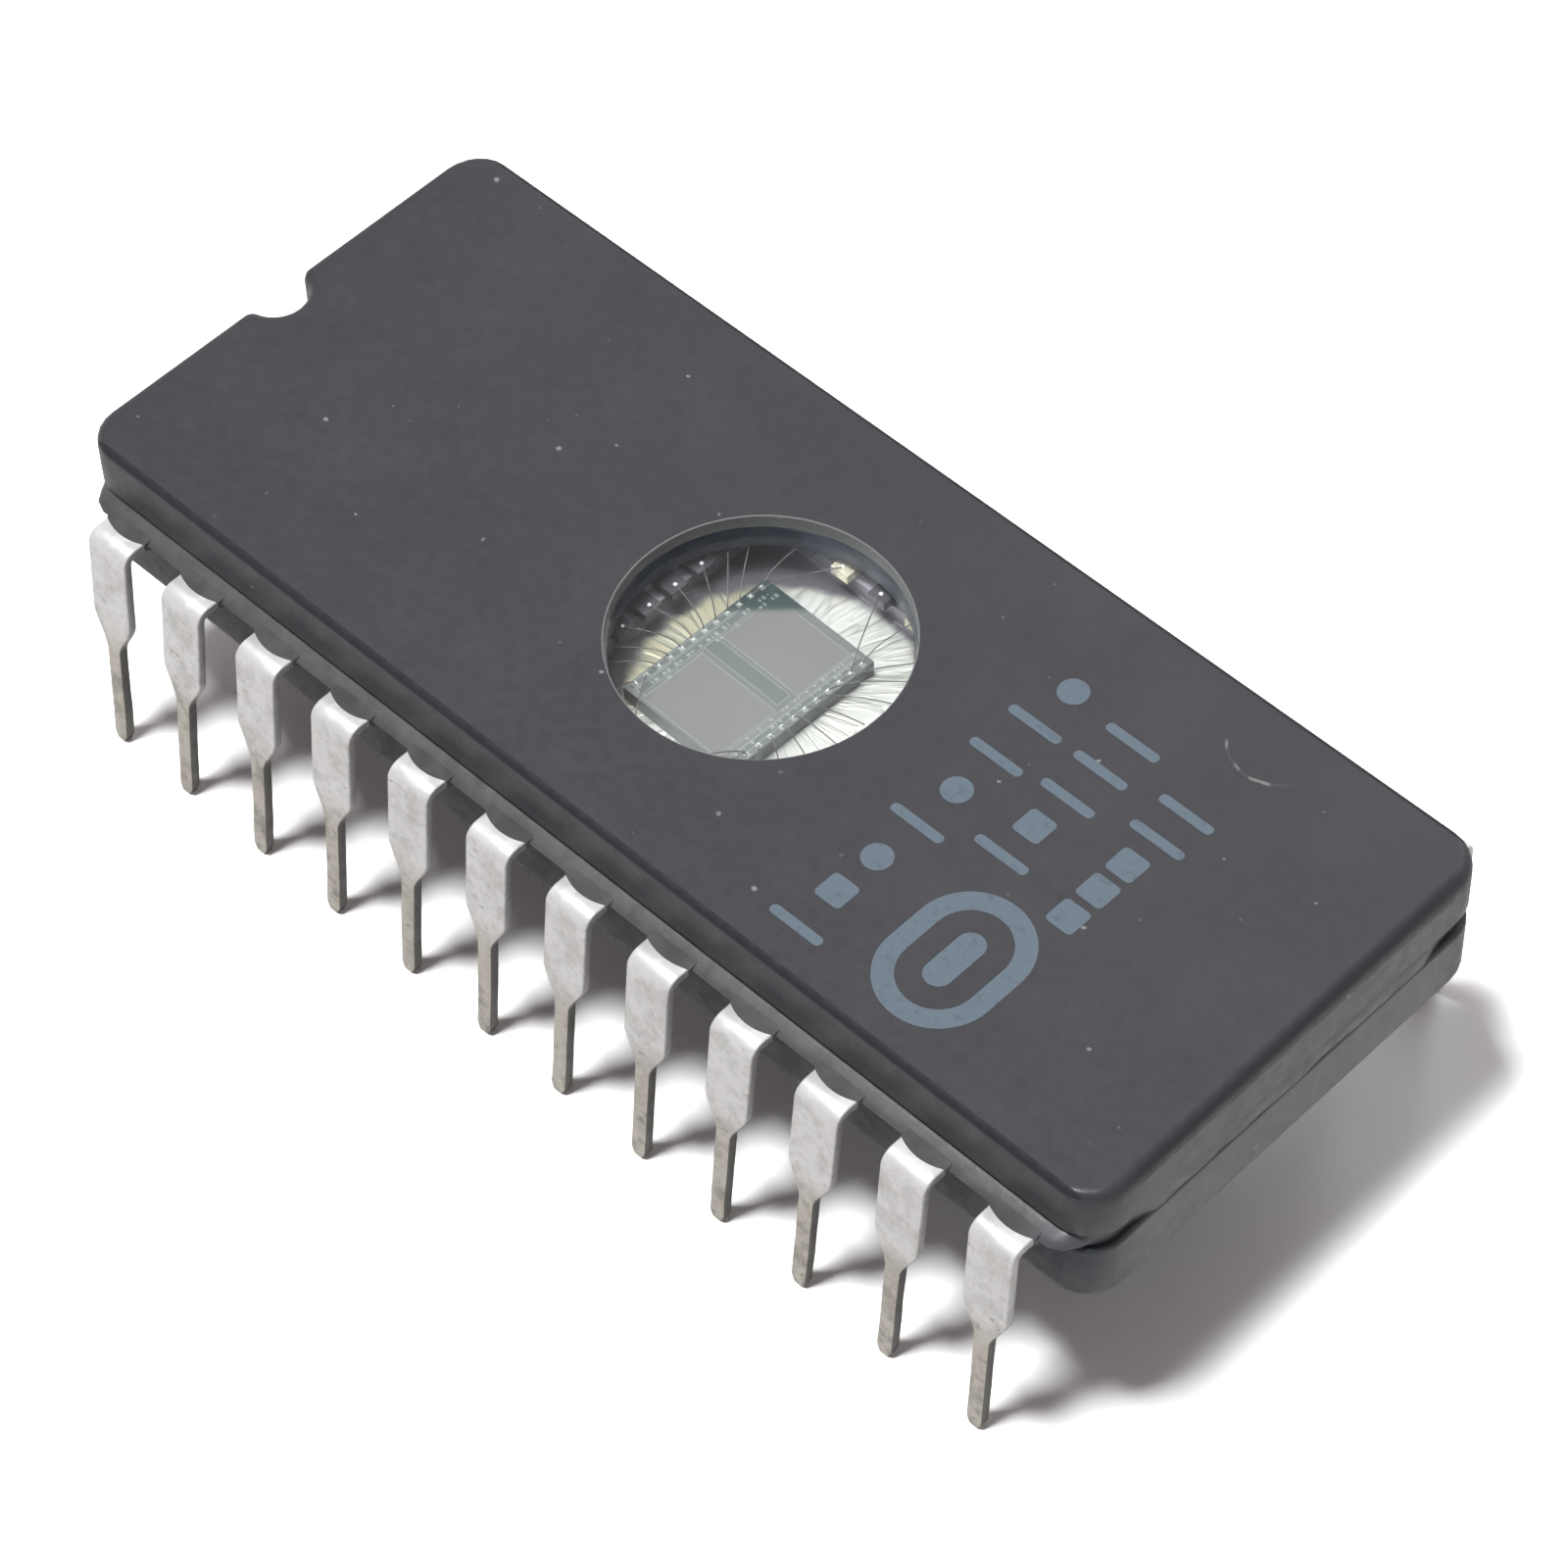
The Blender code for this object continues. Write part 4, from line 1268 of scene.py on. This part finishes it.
@dataclass
class LeadFrame:
    """Two rows of stamped leads, each with its finger inside the glass.

    Attributes:
        per_side: Leads in a row.
        pitch: From lead to lead.
        side: From the middle to the ceramic's side.
        inset: How far into the glass the outer part begins.
        reach: From the ceramic's side to the bend.
        outer_radius: Outer radius of the bend.
        thickness: Thickness of the strip.
        wide: Width above the taper.
        narrow: Width below it.
        narrow_height: Height of the narrow part.
        taper_height: Height of the taper.
        edge_radius: Rounding of the strip's edges.
        tip_height: Height of the tip's rounded corners.
        tip_share: Share of the narrow width that is left at the very tip.
        splay: How far the legs open outwards, in degrees.
        step: Length of the mesh's steps along a lead.
        waviness: Greatest waviness of a leg.
        drift: Sideways drift of a tip for one step of the pattern.
        hidden_step: Step of the far row's last lead, which the body hides.
        pattern: Steps of drift, from the notch end, on the near side.
    """

    per_side: int = 12
    pitch: float = 2.54 * MM
    side: float = 6.4 * MM
    inset: float = 0.1 * MM
    reach: float = 0.74 * MM
    outer_radius: float = 0.38 * MM
    thickness: float = 0.25 * MM
    wide: float = 1.27 * MM
    narrow: float = 0.44 * MM
    narrow_height: float = 3.15 * MM
    taper_height: float = 1.05 * MM
    edge_radius: float = 0.05 * MM
    tip_height: float = 0.2 * MM
    tip_share: float = 0.56
    splay: float = 4.7
    step: float = 0.055 * MM
    waviness: float = 0.06 * MM
    drift: float = 0.1 * MM
    hidden_step: float = -3.0
    pattern: tuple[float, ...] = (0.0, -2.0, -1.0, -1.0, -1.0, -1.0, -2.0, -1.5, -2.0, -2.0, -1.0, 0.5)

    def nodes(self) -> tuple[str, ...]:
        """Return the names of the frame's lead nodes."""
        return tuple(f"lead_{number:02d}" for number in range(1, 2 * self.per_side + 1))

    def seats(self, offset: float, height: float) -> Mesh:
        """Make one seat for each lead.

        Args:
            offset: How far outside the ceramic's side the seats lie.
            height: Their height.

        Returns:
            The mesh of seats, with each lead's turn and drift.
        """
        points, turns, drifts = [], [], []
        for row in Row:
            for column in range(self.per_side):
                along = (column - (self.per_side - 1) / 2) * self.pitch
                points.append(Vector((along, row.value * (self.side + offset), height)))
                turns.append(0.0 if row is Row.FAR else math.pi)
                step = column if row is Row.NEAR else self.per_side - 1 - column
                hidden = row is Row.FAR and step == 0
                drifts.append(self.drift * (self.hidden_step if hidden else self.pattern[step]))
        return seat_mesh(points, turn=turns, drift=drifts)

    def build(self, palette: Palette) -> None:
        """Build both pieces of the lead frame.

        Args:
            palette: The finishes.
        """
        values = {name.replace("_", " ").title(): value for name, value in vars(self).items()}
        values |= {"Level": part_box("lead_01")[1].z - self.thickness / 2, "Splay": math.radians(self.splay),
                   "Bend Radius": self.outer_radius - self.thickness / 2, "Material": palette.tin}
        settle(grow("lead_rows", lead_tree(), self.seats(0.0, 0.0), values), self.nodes())
        settle(add_piece("lead_fingers", self.finger_mesh(), palette.finger), self.nodes())

    def finger_mesh(self) -> Mesh:
        """Cut the inner fingers from the frame's leads.

        Returns:
            The mesh of all fingers, closed where they were cut.
        """
        bm = bmesh.new()
        for node in self.nodes():
            bm.from_mesh(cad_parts[node].data)
        bmesh.ops.remove_doubles(bm, verts=bm.verts, dist=DOUBLES)
        for row in Row:
            cut = bmesh.ops.bisect_plane(bm, geom=[*bm.verts, *bm.edges, *bm.faces], clear_outer=True,
                                         plane_co=(0.0, row.value * (self.side - self.inset / 2), 0.0),
                                         plane_no=(0.0, row.value, 0.0))
            edges = [item for item in cut["geom_cut"] if isinstance(item, bmesh.types.BMEdge)]
            bmesh.ops.holes_fill(bm, edges=edges)
        return new_mesh(bm, "lead_fingers")


@dataclass
class CeramicBody:
    """Cap, base and the glass between them.

    Attributes:
        creep_offset: Where the tongues of glass begin, outside the ceramic's side.
        side_fill: How far the glass runs into the roundings along the sides.
        side_band: How far inside the side that shows.
        end_fill: How far it runs out over an end.
        end_half: How far from the middle it does so.
        end_fade: Length over which it fades out towards a corner of the near end.
        corner_radius: Radius of the glass round a corner.
        corner_sink: From end_half to the middle of that radius.
        end_cuts: Steps of the uneven edge, to either side.
        end_skin: Depth within which a face belongs to an end.
        end_bow: Share of the fill that swells towards mid-height.
        end_spread: How much the glass gains in height there.
        edge_share: Share of the half height from which a point belongs to the edge of a side.
        nick_scale: Scale of the nicks in the uneven edge, in repeats per metre.
        nick_from: Level of the noise at which a nick begins.
        nick_depth: How deep the noise cuts it.
    """

    creep_offset: float = 0.45 * MM
    side_fill: float = 0.09 * MM
    side_band: float = 0.6 * MM
    end_fill: float = 0.18 * MM
    end_half: float = 5.2 * MM
    end_fade: float = 1.0 * MM
    corner_radius: float = 0.82 * MM
    corner_sink: float = 0.2 * MM
    end_cuts: int = 24
    end_skin: float = 0.02 * MM
    end_bow: float = 0.14
    end_spread: float = 0.3
    edge_share: float = 0.9
    nick_scale: float = 800.0
    nick_from: float = 0.25
    nick_depth: float = 0.9

    def build(self, palette: Palette, leads: LeadFrame) -> None:
        """Build the plates, the seal and its tongues.

        Args:
            palette: The finishes.
            leads: The lead frame that the glass holds.
        """
        for node, name, finish in (("base_ceramic", "base_plate", palette.base),
                                   ("cap_ceramic", "cap_plate", palette.cap)):
            settle(smooth_copy(node, name, finish), (node,))
        seal = smooth_copy("seal_glass", "seal_band", palette.seal, 50.0)
        self.fill_ends(seal.data)
        settle(seal, ("seal_glass",))
        values = {"Half Width": leads.wide / 2 + 0.02 * MM, "Length": 0.16 * MM, "Back": 0.34 * MM, "Rise": 0.04 * MM,
                  "Bluntness": 1.0, "Depth": 0.2 * MM, "Flare": 0.2 * MM, "Unevenness": 0.18, "Seed": 11,
                  "Material": palette.seal}
        seats = leads.seats(self.creep_offset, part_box("lead_01")[1].z)
        settle(grow("seal_creep", creep_tree(), seats, values))

    def fill_ends(self, mesh: Mesh) -> None:
        """Let the glass run out over the ends, unevenly, and leave it sunk at the corners.

        Args:
            mesh: The seal's mesh.
        """
        low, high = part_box("seal_glass")
        bm = bmesh.new()
        bm.from_mesh(mesh)
        for step in range(-self.end_cuts, self.end_cuts + 1):
            y = self.end_half * step / self.end_cuts
            faces = [face for face in bm.faces
                     if all(abs(vert.co.x) > high.x - self.end_skin for vert in face.verts)]
            edges = {edge for face in faces for edge in face.edges}
            verts = {vert for face in faces for vert in face.verts}
            bmesh.ops.bisect_plane(bm, geom=[*verts, *edges, *faces], plane_co=(0.0, y, 0.0), plane_no=(0.0, 1.0, 0.0))
        middle = (low.z + high.z) / 2
        edge = self.edge_share * (high.z - middle)
        center = Vector((high.x - self.corner_radius, self.end_half + self.corner_sink))
        for vert in bm.verts:
            along = abs(vert.co.x) - center.x
            if along >= 0.0:
                self.fill_end(vert, along, center.y, low.z, high.z)
            elif abs(vert.co.y) > high.y - self.side_band and abs(vert.co.z - middle) > edge:
                vert.co.z += math.copysign(self.side_fill, vert.co.z - middle)
                vert.co.y += math.copysign(self.side_fill / 2, vert.co.y)
        bm.normal_update()
        bm.to_mesh(mesh)
        bm.free()

    def fill_end(self, vert: bmesh.types.BMVert, along: float, center_y: float, low: float, high: float) -> None:
        """Swell one point of an end.

        Args:
            vert: The point.
            along: How far it lies beyond the middle of the corner's radius, along the package.
            center_y: Where that middle lies, across the package.
            low: Lowest height of the glass.
            high: Greatest height.
        """
        turn = math.atan2(max(abs(vert.co.y) - center_y, 0.0), along)
        inside = min(max((self.end_half - abs(vert.co.y)) / self.end_fade, 0.0), 1.0)
        fade = math.cos(turn) ** 2 if vert.co.x < 0.0 else inside * inside * (3.0 - 2.0 * inside)
        share = (vert.co.z - low) / (high - low)
        ragged = 1.0 - self.nick_depth * max(noise.noise(vert.co * self.nick_scale) - self.nick_from, 0.0)
        bow = 1.0 - self.end_bow + self.end_bow * math.sqrt(math.sin(math.pi * share))
        swell = self.end_fill * bow * fade * ragged
        vert.co.x += math.copysign(swell * math.cos(turn), vert.co.x)
        vert.co.y += math.copysign(swell * math.sin(turn), vert.co.y)
        vert.co.z += (vert.co.z - (low + high) / 2) * self.end_spread * fade


@dataclass
class Window:
    """The clear disc in the cap.

    Attributes:
        sink: How far the glass wets into the ceramic of the bore.
        face_depth: From the top of the rim down to the flat face.
        rim_rise: How far its rim climbs the wall.
        rim_width: How wide the climbing rim is.
        rim_steps: Steps of the rim's curve.
        steps: Segments round.
    """

    sink: float = 0.02 * MM
    face_depth: float = 0.08 * MM
    rim_rise: float = 0.015 * MM
    rim_width: float = 0.1 * MM
    rim_steps: int = 8
    steps: int = 128

    def build(self, palette: Palette) -> None:
        """Build the disc.

        Args:
            palette: The finishes.
        """
        low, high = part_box("window_lens")
        radius = (high.x - low.x) / 2
        face = high.z - self.face_depth
        profile = [(0.0, low.z), (radius + self.sink, low.z), (radius + self.sink, face + self.rim_rise)]
        for step in range(1, self.rim_steps + 1):
            share = step / self.rim_steps
            profile.append((radius - self.rim_width * share, face + self.rim_rise * (1.0 - share) ** 3))
        profile.append((0.0, face))
        disc = turned(profile, ((low.x + high.x) / 2, (low.y + high.y) / 2), self.steps)
        disc.shade_smooth()
        disc.set_sharp_from_angle(angle=math.radians(SHARP))
        settle(add_piece("window_disc", disc, palette.window), ("window_lens",))


@dataclass
class DieCavity:
    """The die with its circuit, pads and wires, on the metallised cavity floor.

    Attributes:
        pad_span: Between the two columns of pads.
        pad_pitch: From pad to pad.
        pad_size: Side of a pad.
        ball_radius: Radius of the metal at a wire's end on its finger.
        bond_radius: Radius of the metal at its end on the die.
        lift: Height of the patterned layers above the silicon.
    """

    pad_span: float = 3.26 * MM
    pad_pitch: float = 0.36364 * MM
    pad_size: float = 0.14 * MM
    ball_radius: float = 0.055 * MM
    bond_radius: float = 0.034 * MM
    lift: float = 0.004 * MM

    def build(self, palette: Palette, lead_count: int) -> None:
        """Dress the nodes and add the circuit's raised patterns.

        Args:
            palette: The finishes.
            lead_count: Leads of the package, and so bond wires.
        """
        dress("cavity_metal", palette.foil)
        dress("die", palette.silicon)
        wires = [f"bond_wire_{number:02d}" for number in range(1, lead_count + 1)]
        for wire in wires:
            dress(wire, palette.wire)
        ends = zip(*(self.wire_ends(wire) for wire in wires))
        balls = ball_tree()
        for name, points, radius in zip(("die_bonds", "finger_bonds"), ends, (self.bond_radius, self.ball_radius)):
            values = {"Radius": radius, "Flatness": 0.7, "Material": palette.ball}
            settle(grow(name, balls, seat_mesh(list(points)), values))
        plates = field_tree()
        pads = {"Columns": 2, "Rows": lead_count // 2, "Pitch X": self.pad_span, "Pitch Y": self.pad_pitch,
                "Width": self.pad_size, "Height": self.pad_size, "Least": 0.95, "Kept": 1.0, "Seed": 1,
                "Material": palette.pad}
        drivers = {"Columns": 2, "Rows": 34, "Pitch X": 0.16 * MM, "Pitch Y": 0.125 * MM, "Width": 0.13 * MM,
                   "Height": 0.1 * MM, "Least": 0.25, "Material": palette.track}
        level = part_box("die")[1].z - self.lift / 2
        for name, slot, offset, values in (
                ("die_pads", "bond_aluminium", 0.0, pads),
                ("die_drivers_notch_side", "silicon", -1.3 * MM, drivers | {"Kept": 0.5, "Seed": 5}),
                ("die_drivers_far_side", "silicon", 1.38 * MM, drivers | {"Kept": 0.55, "Seed": 9})):
            seat = Vector((*DIE_CENTER, level)) + Matrix.Rotation(DIE_YAW, 3, "Z") @ Vector((offset, 0.0, 0.0))
            values |= {"Thickness": self.lift, "Turn": DIE_YAW}
            settle(grow(name, plates, seat_mesh([seat]), values))

    def wire_ends(self, wire: str) -> tuple[Vector, Vector]:
        """Find where a bond wire touches the die and its finger.

        Args:
            wire: The wire's node.

        Returns:
            The middle of each of its ends.
        """
        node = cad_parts[wire]
        points = [node.matrix_world @ vert.co for vert in node.data.vertices]
        points.sort(key=lambda point: (point.xy - Vector(DIE_CENTER)).length)
        return sum(points[:4], Vector()) / 4, sum(points[-4:], Vector()) / 4


@dataclass(frozen=True)
class PrintRow:
    """One row of the marking, read across the package.

    Attributes:
        x: Place of the row along the package.
        start: Place of its first mark across the package.
        pitch: From mark to mark.
        count: Number of marks.
        seed: Seed of the choice of shapes.
    """

    x: float
    start: float
    pitch: float
    count: int
    seed: int


@dataclass
class Marking:
    """Generic printed marks on the cap: rows of bars, blocks and spots, and a plain ring.

    Attributes:
        rows: The rows.
        mark_height: Length of a bar, along the package.
        stroke: Width of a bar.
        ink: Thickness of the ink.
        ring_center: Middle of the long ring.
        ring_size: Its outer sizes.
        ring_band: Width of its band.
    """

    rows: tuple[PrintRow, ...] = (
        PrintRow(6.2, -5.25, 1.26, 8, 3),
        PrintRow(8.12, -0.85, 1.06, 5, 8),
        PrintRow(10.3, -1.1, 0.95, 5, 4),
    )
    mark_height: float = 1.5 * MM
    stroke: float = 0.26 * MM
    ink: float = 0.006 * MM
    ring_center: Pair = (9.3 * MM, -3.6 * MM)
    ring_size: Pair = (2.9 * MM, 3.9 * MM)
    ring_band: float = 0.5 * MM

    def build(self, palette: Palette) -> None:
        """Build the rows and the ring.

        Args:
            palette: The finishes.
        """
        tree = print_tree()
        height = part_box("cap_ceramic")[1].z - self.ink / 4
        ink = {"Ink": self.ink, "Material": palette.ink}
        for number, row in enumerate(self.rows, start=1):
            seats = [Vector((row.x * MM, (row.start + row.pitch * step) * MM, height)) for step in range(row.count)]
            values = ink | {"Mark Height": self.mark_height, "Stroke": self.stroke, "Seed": row.seed}
            settle(grow(f"marking_row_{number}", tree, seat_mesh(seats), values))
        values = ink | {"Width": self.ring_size[0], "Height": self.ring_size[1], "Band": self.ring_band}
        seats = seat_mesh([Vector((*self.ring_center, height))])
        settle(grow("marking_ring", ring_tree(), seats, values))


# Studio


@dataclass(frozen=True)
class Lamp:
    """A square lamp that faces the chip.

    Attributes:
        name: Its name.
        power: Its power in watts.
        size: Its side.
        direction: Where it hangs, from the chip.
        distance: How far away.
    """

    name: str
    power: float
    size: float
    direction: Point
    distance: float = 0.6

    def hang(self) -> None:
        """Add the lamp to the scene."""
        lamp = bpy.data.lights.new(self.name, "AREA")
        lamp.shape = "SQUARE"
        lamp.size = self.size
        lamp.energy = self.power
        holder = bpy.data.objects.new(self.name, lamp)
        toward = Vector(self.direction).normalized()
        holder.location = toward * self.distance
        holder.rotation_euler = toward.to_track_quat("Z", "Y").to_euler()
        bpy.context.scene.collection.objects.link(holder)


@dataclass
class Studio:
    """White floor, soft light and the camera.

    Attributes:
        floor_size: Side of the floor.
        floor_drop: How far it lies under the lead tips.
        floor_color: The floor as it lights the chip.
        floor_mirrored: The floor as reflections see it.
        floor_seen: The floor as the camera sees it.
        sky: Least and greatest strength of the surrounding light.
        sky_toward: Where the surrounding light is greatest.
        sky_spread: How far to either side of the middle it changes.
        sky_height: Height from which it is full.
        sky_horizon: Share of it at the horizon.
        sky_color: Its colour there.
        sky_dim_color: Its colour on the other side.
        sky_reflected: Strength of the surroundings in reflections.
        lamps: The main lamp and the weak second one.
    """

    floor_size: float = 3.0
    floor_drop: float = 0.02 * MM
    floor_color: Color = (0.88, 0.88, 0.88)
    floor_mirrored: Color = (0.95, 0.95, 0.95)
    floor_seen: Color = (1.9, 1.9, 1.9)
    sky: Pair = (0.04, 0.2)
    sky_toward: Point = (0.6, 0.8, 0.0)
    sky_spread: float = 0.8
    sky_height: float = 0.35
    sky_horizon: float = 0.45
    sky_color: Color = (1.0, 0.96, 0.96)
    sky_dim_color: Color = (1.0, 0.6, 0.65)
    sky_reflected: float = 0.6
    lamps: tuple[Lamp, ...] = (Lamp("key", 2.75, 0.11, (-0.12, -0.2, 1.0)), Lamp("fill", 0.55, 0.3, (-0.3, 1.0, 0.8)))

    def build(self) -> None:
        """Build floor, surroundings, lamps and camera."""
        self._floor()
        self._sky()
        for lamp in self.lamps:
            lamp.hang()
        Camera().place()
        bpy.context.scene.view_settings.view_transform = "Standard"

    @staticmethod
    def _rays(graph: Graph) -> tuple[dict[str, Value], Value]:
        """Return the kinds of ray by name, and whether a ray is a reflection or has passed through glass."""
        rays = {socket.name: Value(graph, socket) for socket in graph.add("ShaderNodeLightPath").outputs}
        return rays, graph.math("MAXIMUM", rays["Is Glossy Ray"], rays["Is Transmission Ray"])

    def _floor(self) -> None:
        """Lay the white floor."""
        bm = bmesh.new()
        bmesh.ops.create_grid(bm, x_segments=1, y_segments=1, size=self.floor_size / 2)
        bmesh.ops.translate(bm, verts=bm.verts, vec=(0.0, 0.0, -self.floor_drop))
        material = bpy.data.materials.new("studio floor")
        material.use_nodes = True
        graph = Graph(material.node_tree)
        graph.tree.nodes.remove(graph.tree.nodes["Principled BSDF"])
        rays, mirrored = self._rays(graph)
        tone = graph.blend(mirrored, self.floor_color, self.floor_mirrored)
        tone = graph.blend(rays["Is Camera Ray"], tone, self.floor_seen)
        matte = graph.get("ShaderNodeBsdfDiffuse", {"Color": tone})
        graph.feed(graph.tree.nodes["Material Output"].inputs["Surface"], matte)
        add_piece("studio_floor", new_mesh(bm, "floor"), material)

    def _sky(self) -> None:
        """Surround the chip with white, a little stronger from one side."""
        world = bpy.data.worlds.new("studio")
        world.use_nodes = True
        graph = Graph(world.node_tree)
        back = graph.tree.nodes["Background"].inputs
        rays, mirrored = self._rays(graph)
        around = graph.get("ShaderNodeTexCoord", output="Generated")
        toward = graph.get("ShaderNodeVectorMath", {0: around, 1: self.sky_toward}, "Value", operation="DOT_PRODUCT")
        raised = graph.ramp(graph.parts(around)[2], 0.0, self.sky_height, self.sky_horizon, 1.0)
        soft = graph.ramp(toward, -self.sky_spread, self.sky_spread, *self.sky) * raised
        strength = graph.get("ShaderNodeMapRange", {0: mirrored, 3: soft, 4: self.sky_reflected})
        graph.feed(back["Strength"], graph.math("MAXIMUM", strength, rays["Is Camera Ray"]))
        tint = graph.blend(graph.ramp(toward, -0.6, 0.4), self.sky_dim_color, self.sky_color)
        graph.feed(back["Color"], graph.blend(rays["Is Diffuse Ray"], (1.0, 1.0, 1.0), tint))
        bpy.context.scene.world = world


@dataclass
class Camera:
    """The photograph's camera.

    Attributes:
        azimuth: Turn about the chip, in degrees; 0 looks along +Y.
        elevation: Angle above the horizon, in degrees.
        roll: Turn about the line of sight, in degrees.
        distance: Distance from the target.
        target: Point at the middle of the image.
        lens: Focal length, in millimetres.
        sensor: Width of the sensor, in millimetres.
        clip: Nearest and farthest distance in view.
    """

    azimuth: float = 45.85
    elevation: float = 51.84
    roll: float = -2.13
    distance: float = 129.127 * MM
    target: Point = (-1.366 * MM, 1.884 * MM, 0.0)
    lens: float = 124.41
    sensor: float = 36.0
    clip: Pair = (0.01, 10.0)

    def place(self) -> None:
        """Set the scene's camera."""
        turn, tilt = math.radians(self.azimuth), math.radians(self.elevation)
        back = Vector((math.sin(turn) * math.cos(tilt), -math.cos(turn) * math.cos(tilt), math.sin(tilt)))
        right = Matrix.Rotation(math.radians(self.roll), 3, back) @ Vector((math.cos(turn), math.sin(turn), 0.0))
        eye = bpy.data.cameras.new("camera")
        eye.sensor_width = self.sensor
        eye.lens = self.lens
        eye.clip_start, eye.clip_end = self.clip
        holder = bpy.data.objects.new("camera", eye)
        rotation = Matrix((right, back.cross(right), back)).transposed().to_4x4()
        holder.matrix_world = Matrix.Translation(Vector(self.target) + back * self.distance) @ rotation
        bpy.context.scene.collection.objects.link(holder)
        bpy.context.scene.camera = holder


def main() -> None:
    """Dress the chip and build its studio."""
    logging.basicConfig(level=logging.INFO, format="%(name)s %(message)s")
    palette = Palette()
    leads = LeadFrame()
    leads.build(palette)
    CeramicBody().build(palette, leads)
    Window().build(palette)
    DieCavity().build(palette, 2 * leads.per_side)
    Marking().build(palette)
    Studio().build()


if __name__ == "__main__":
    main()
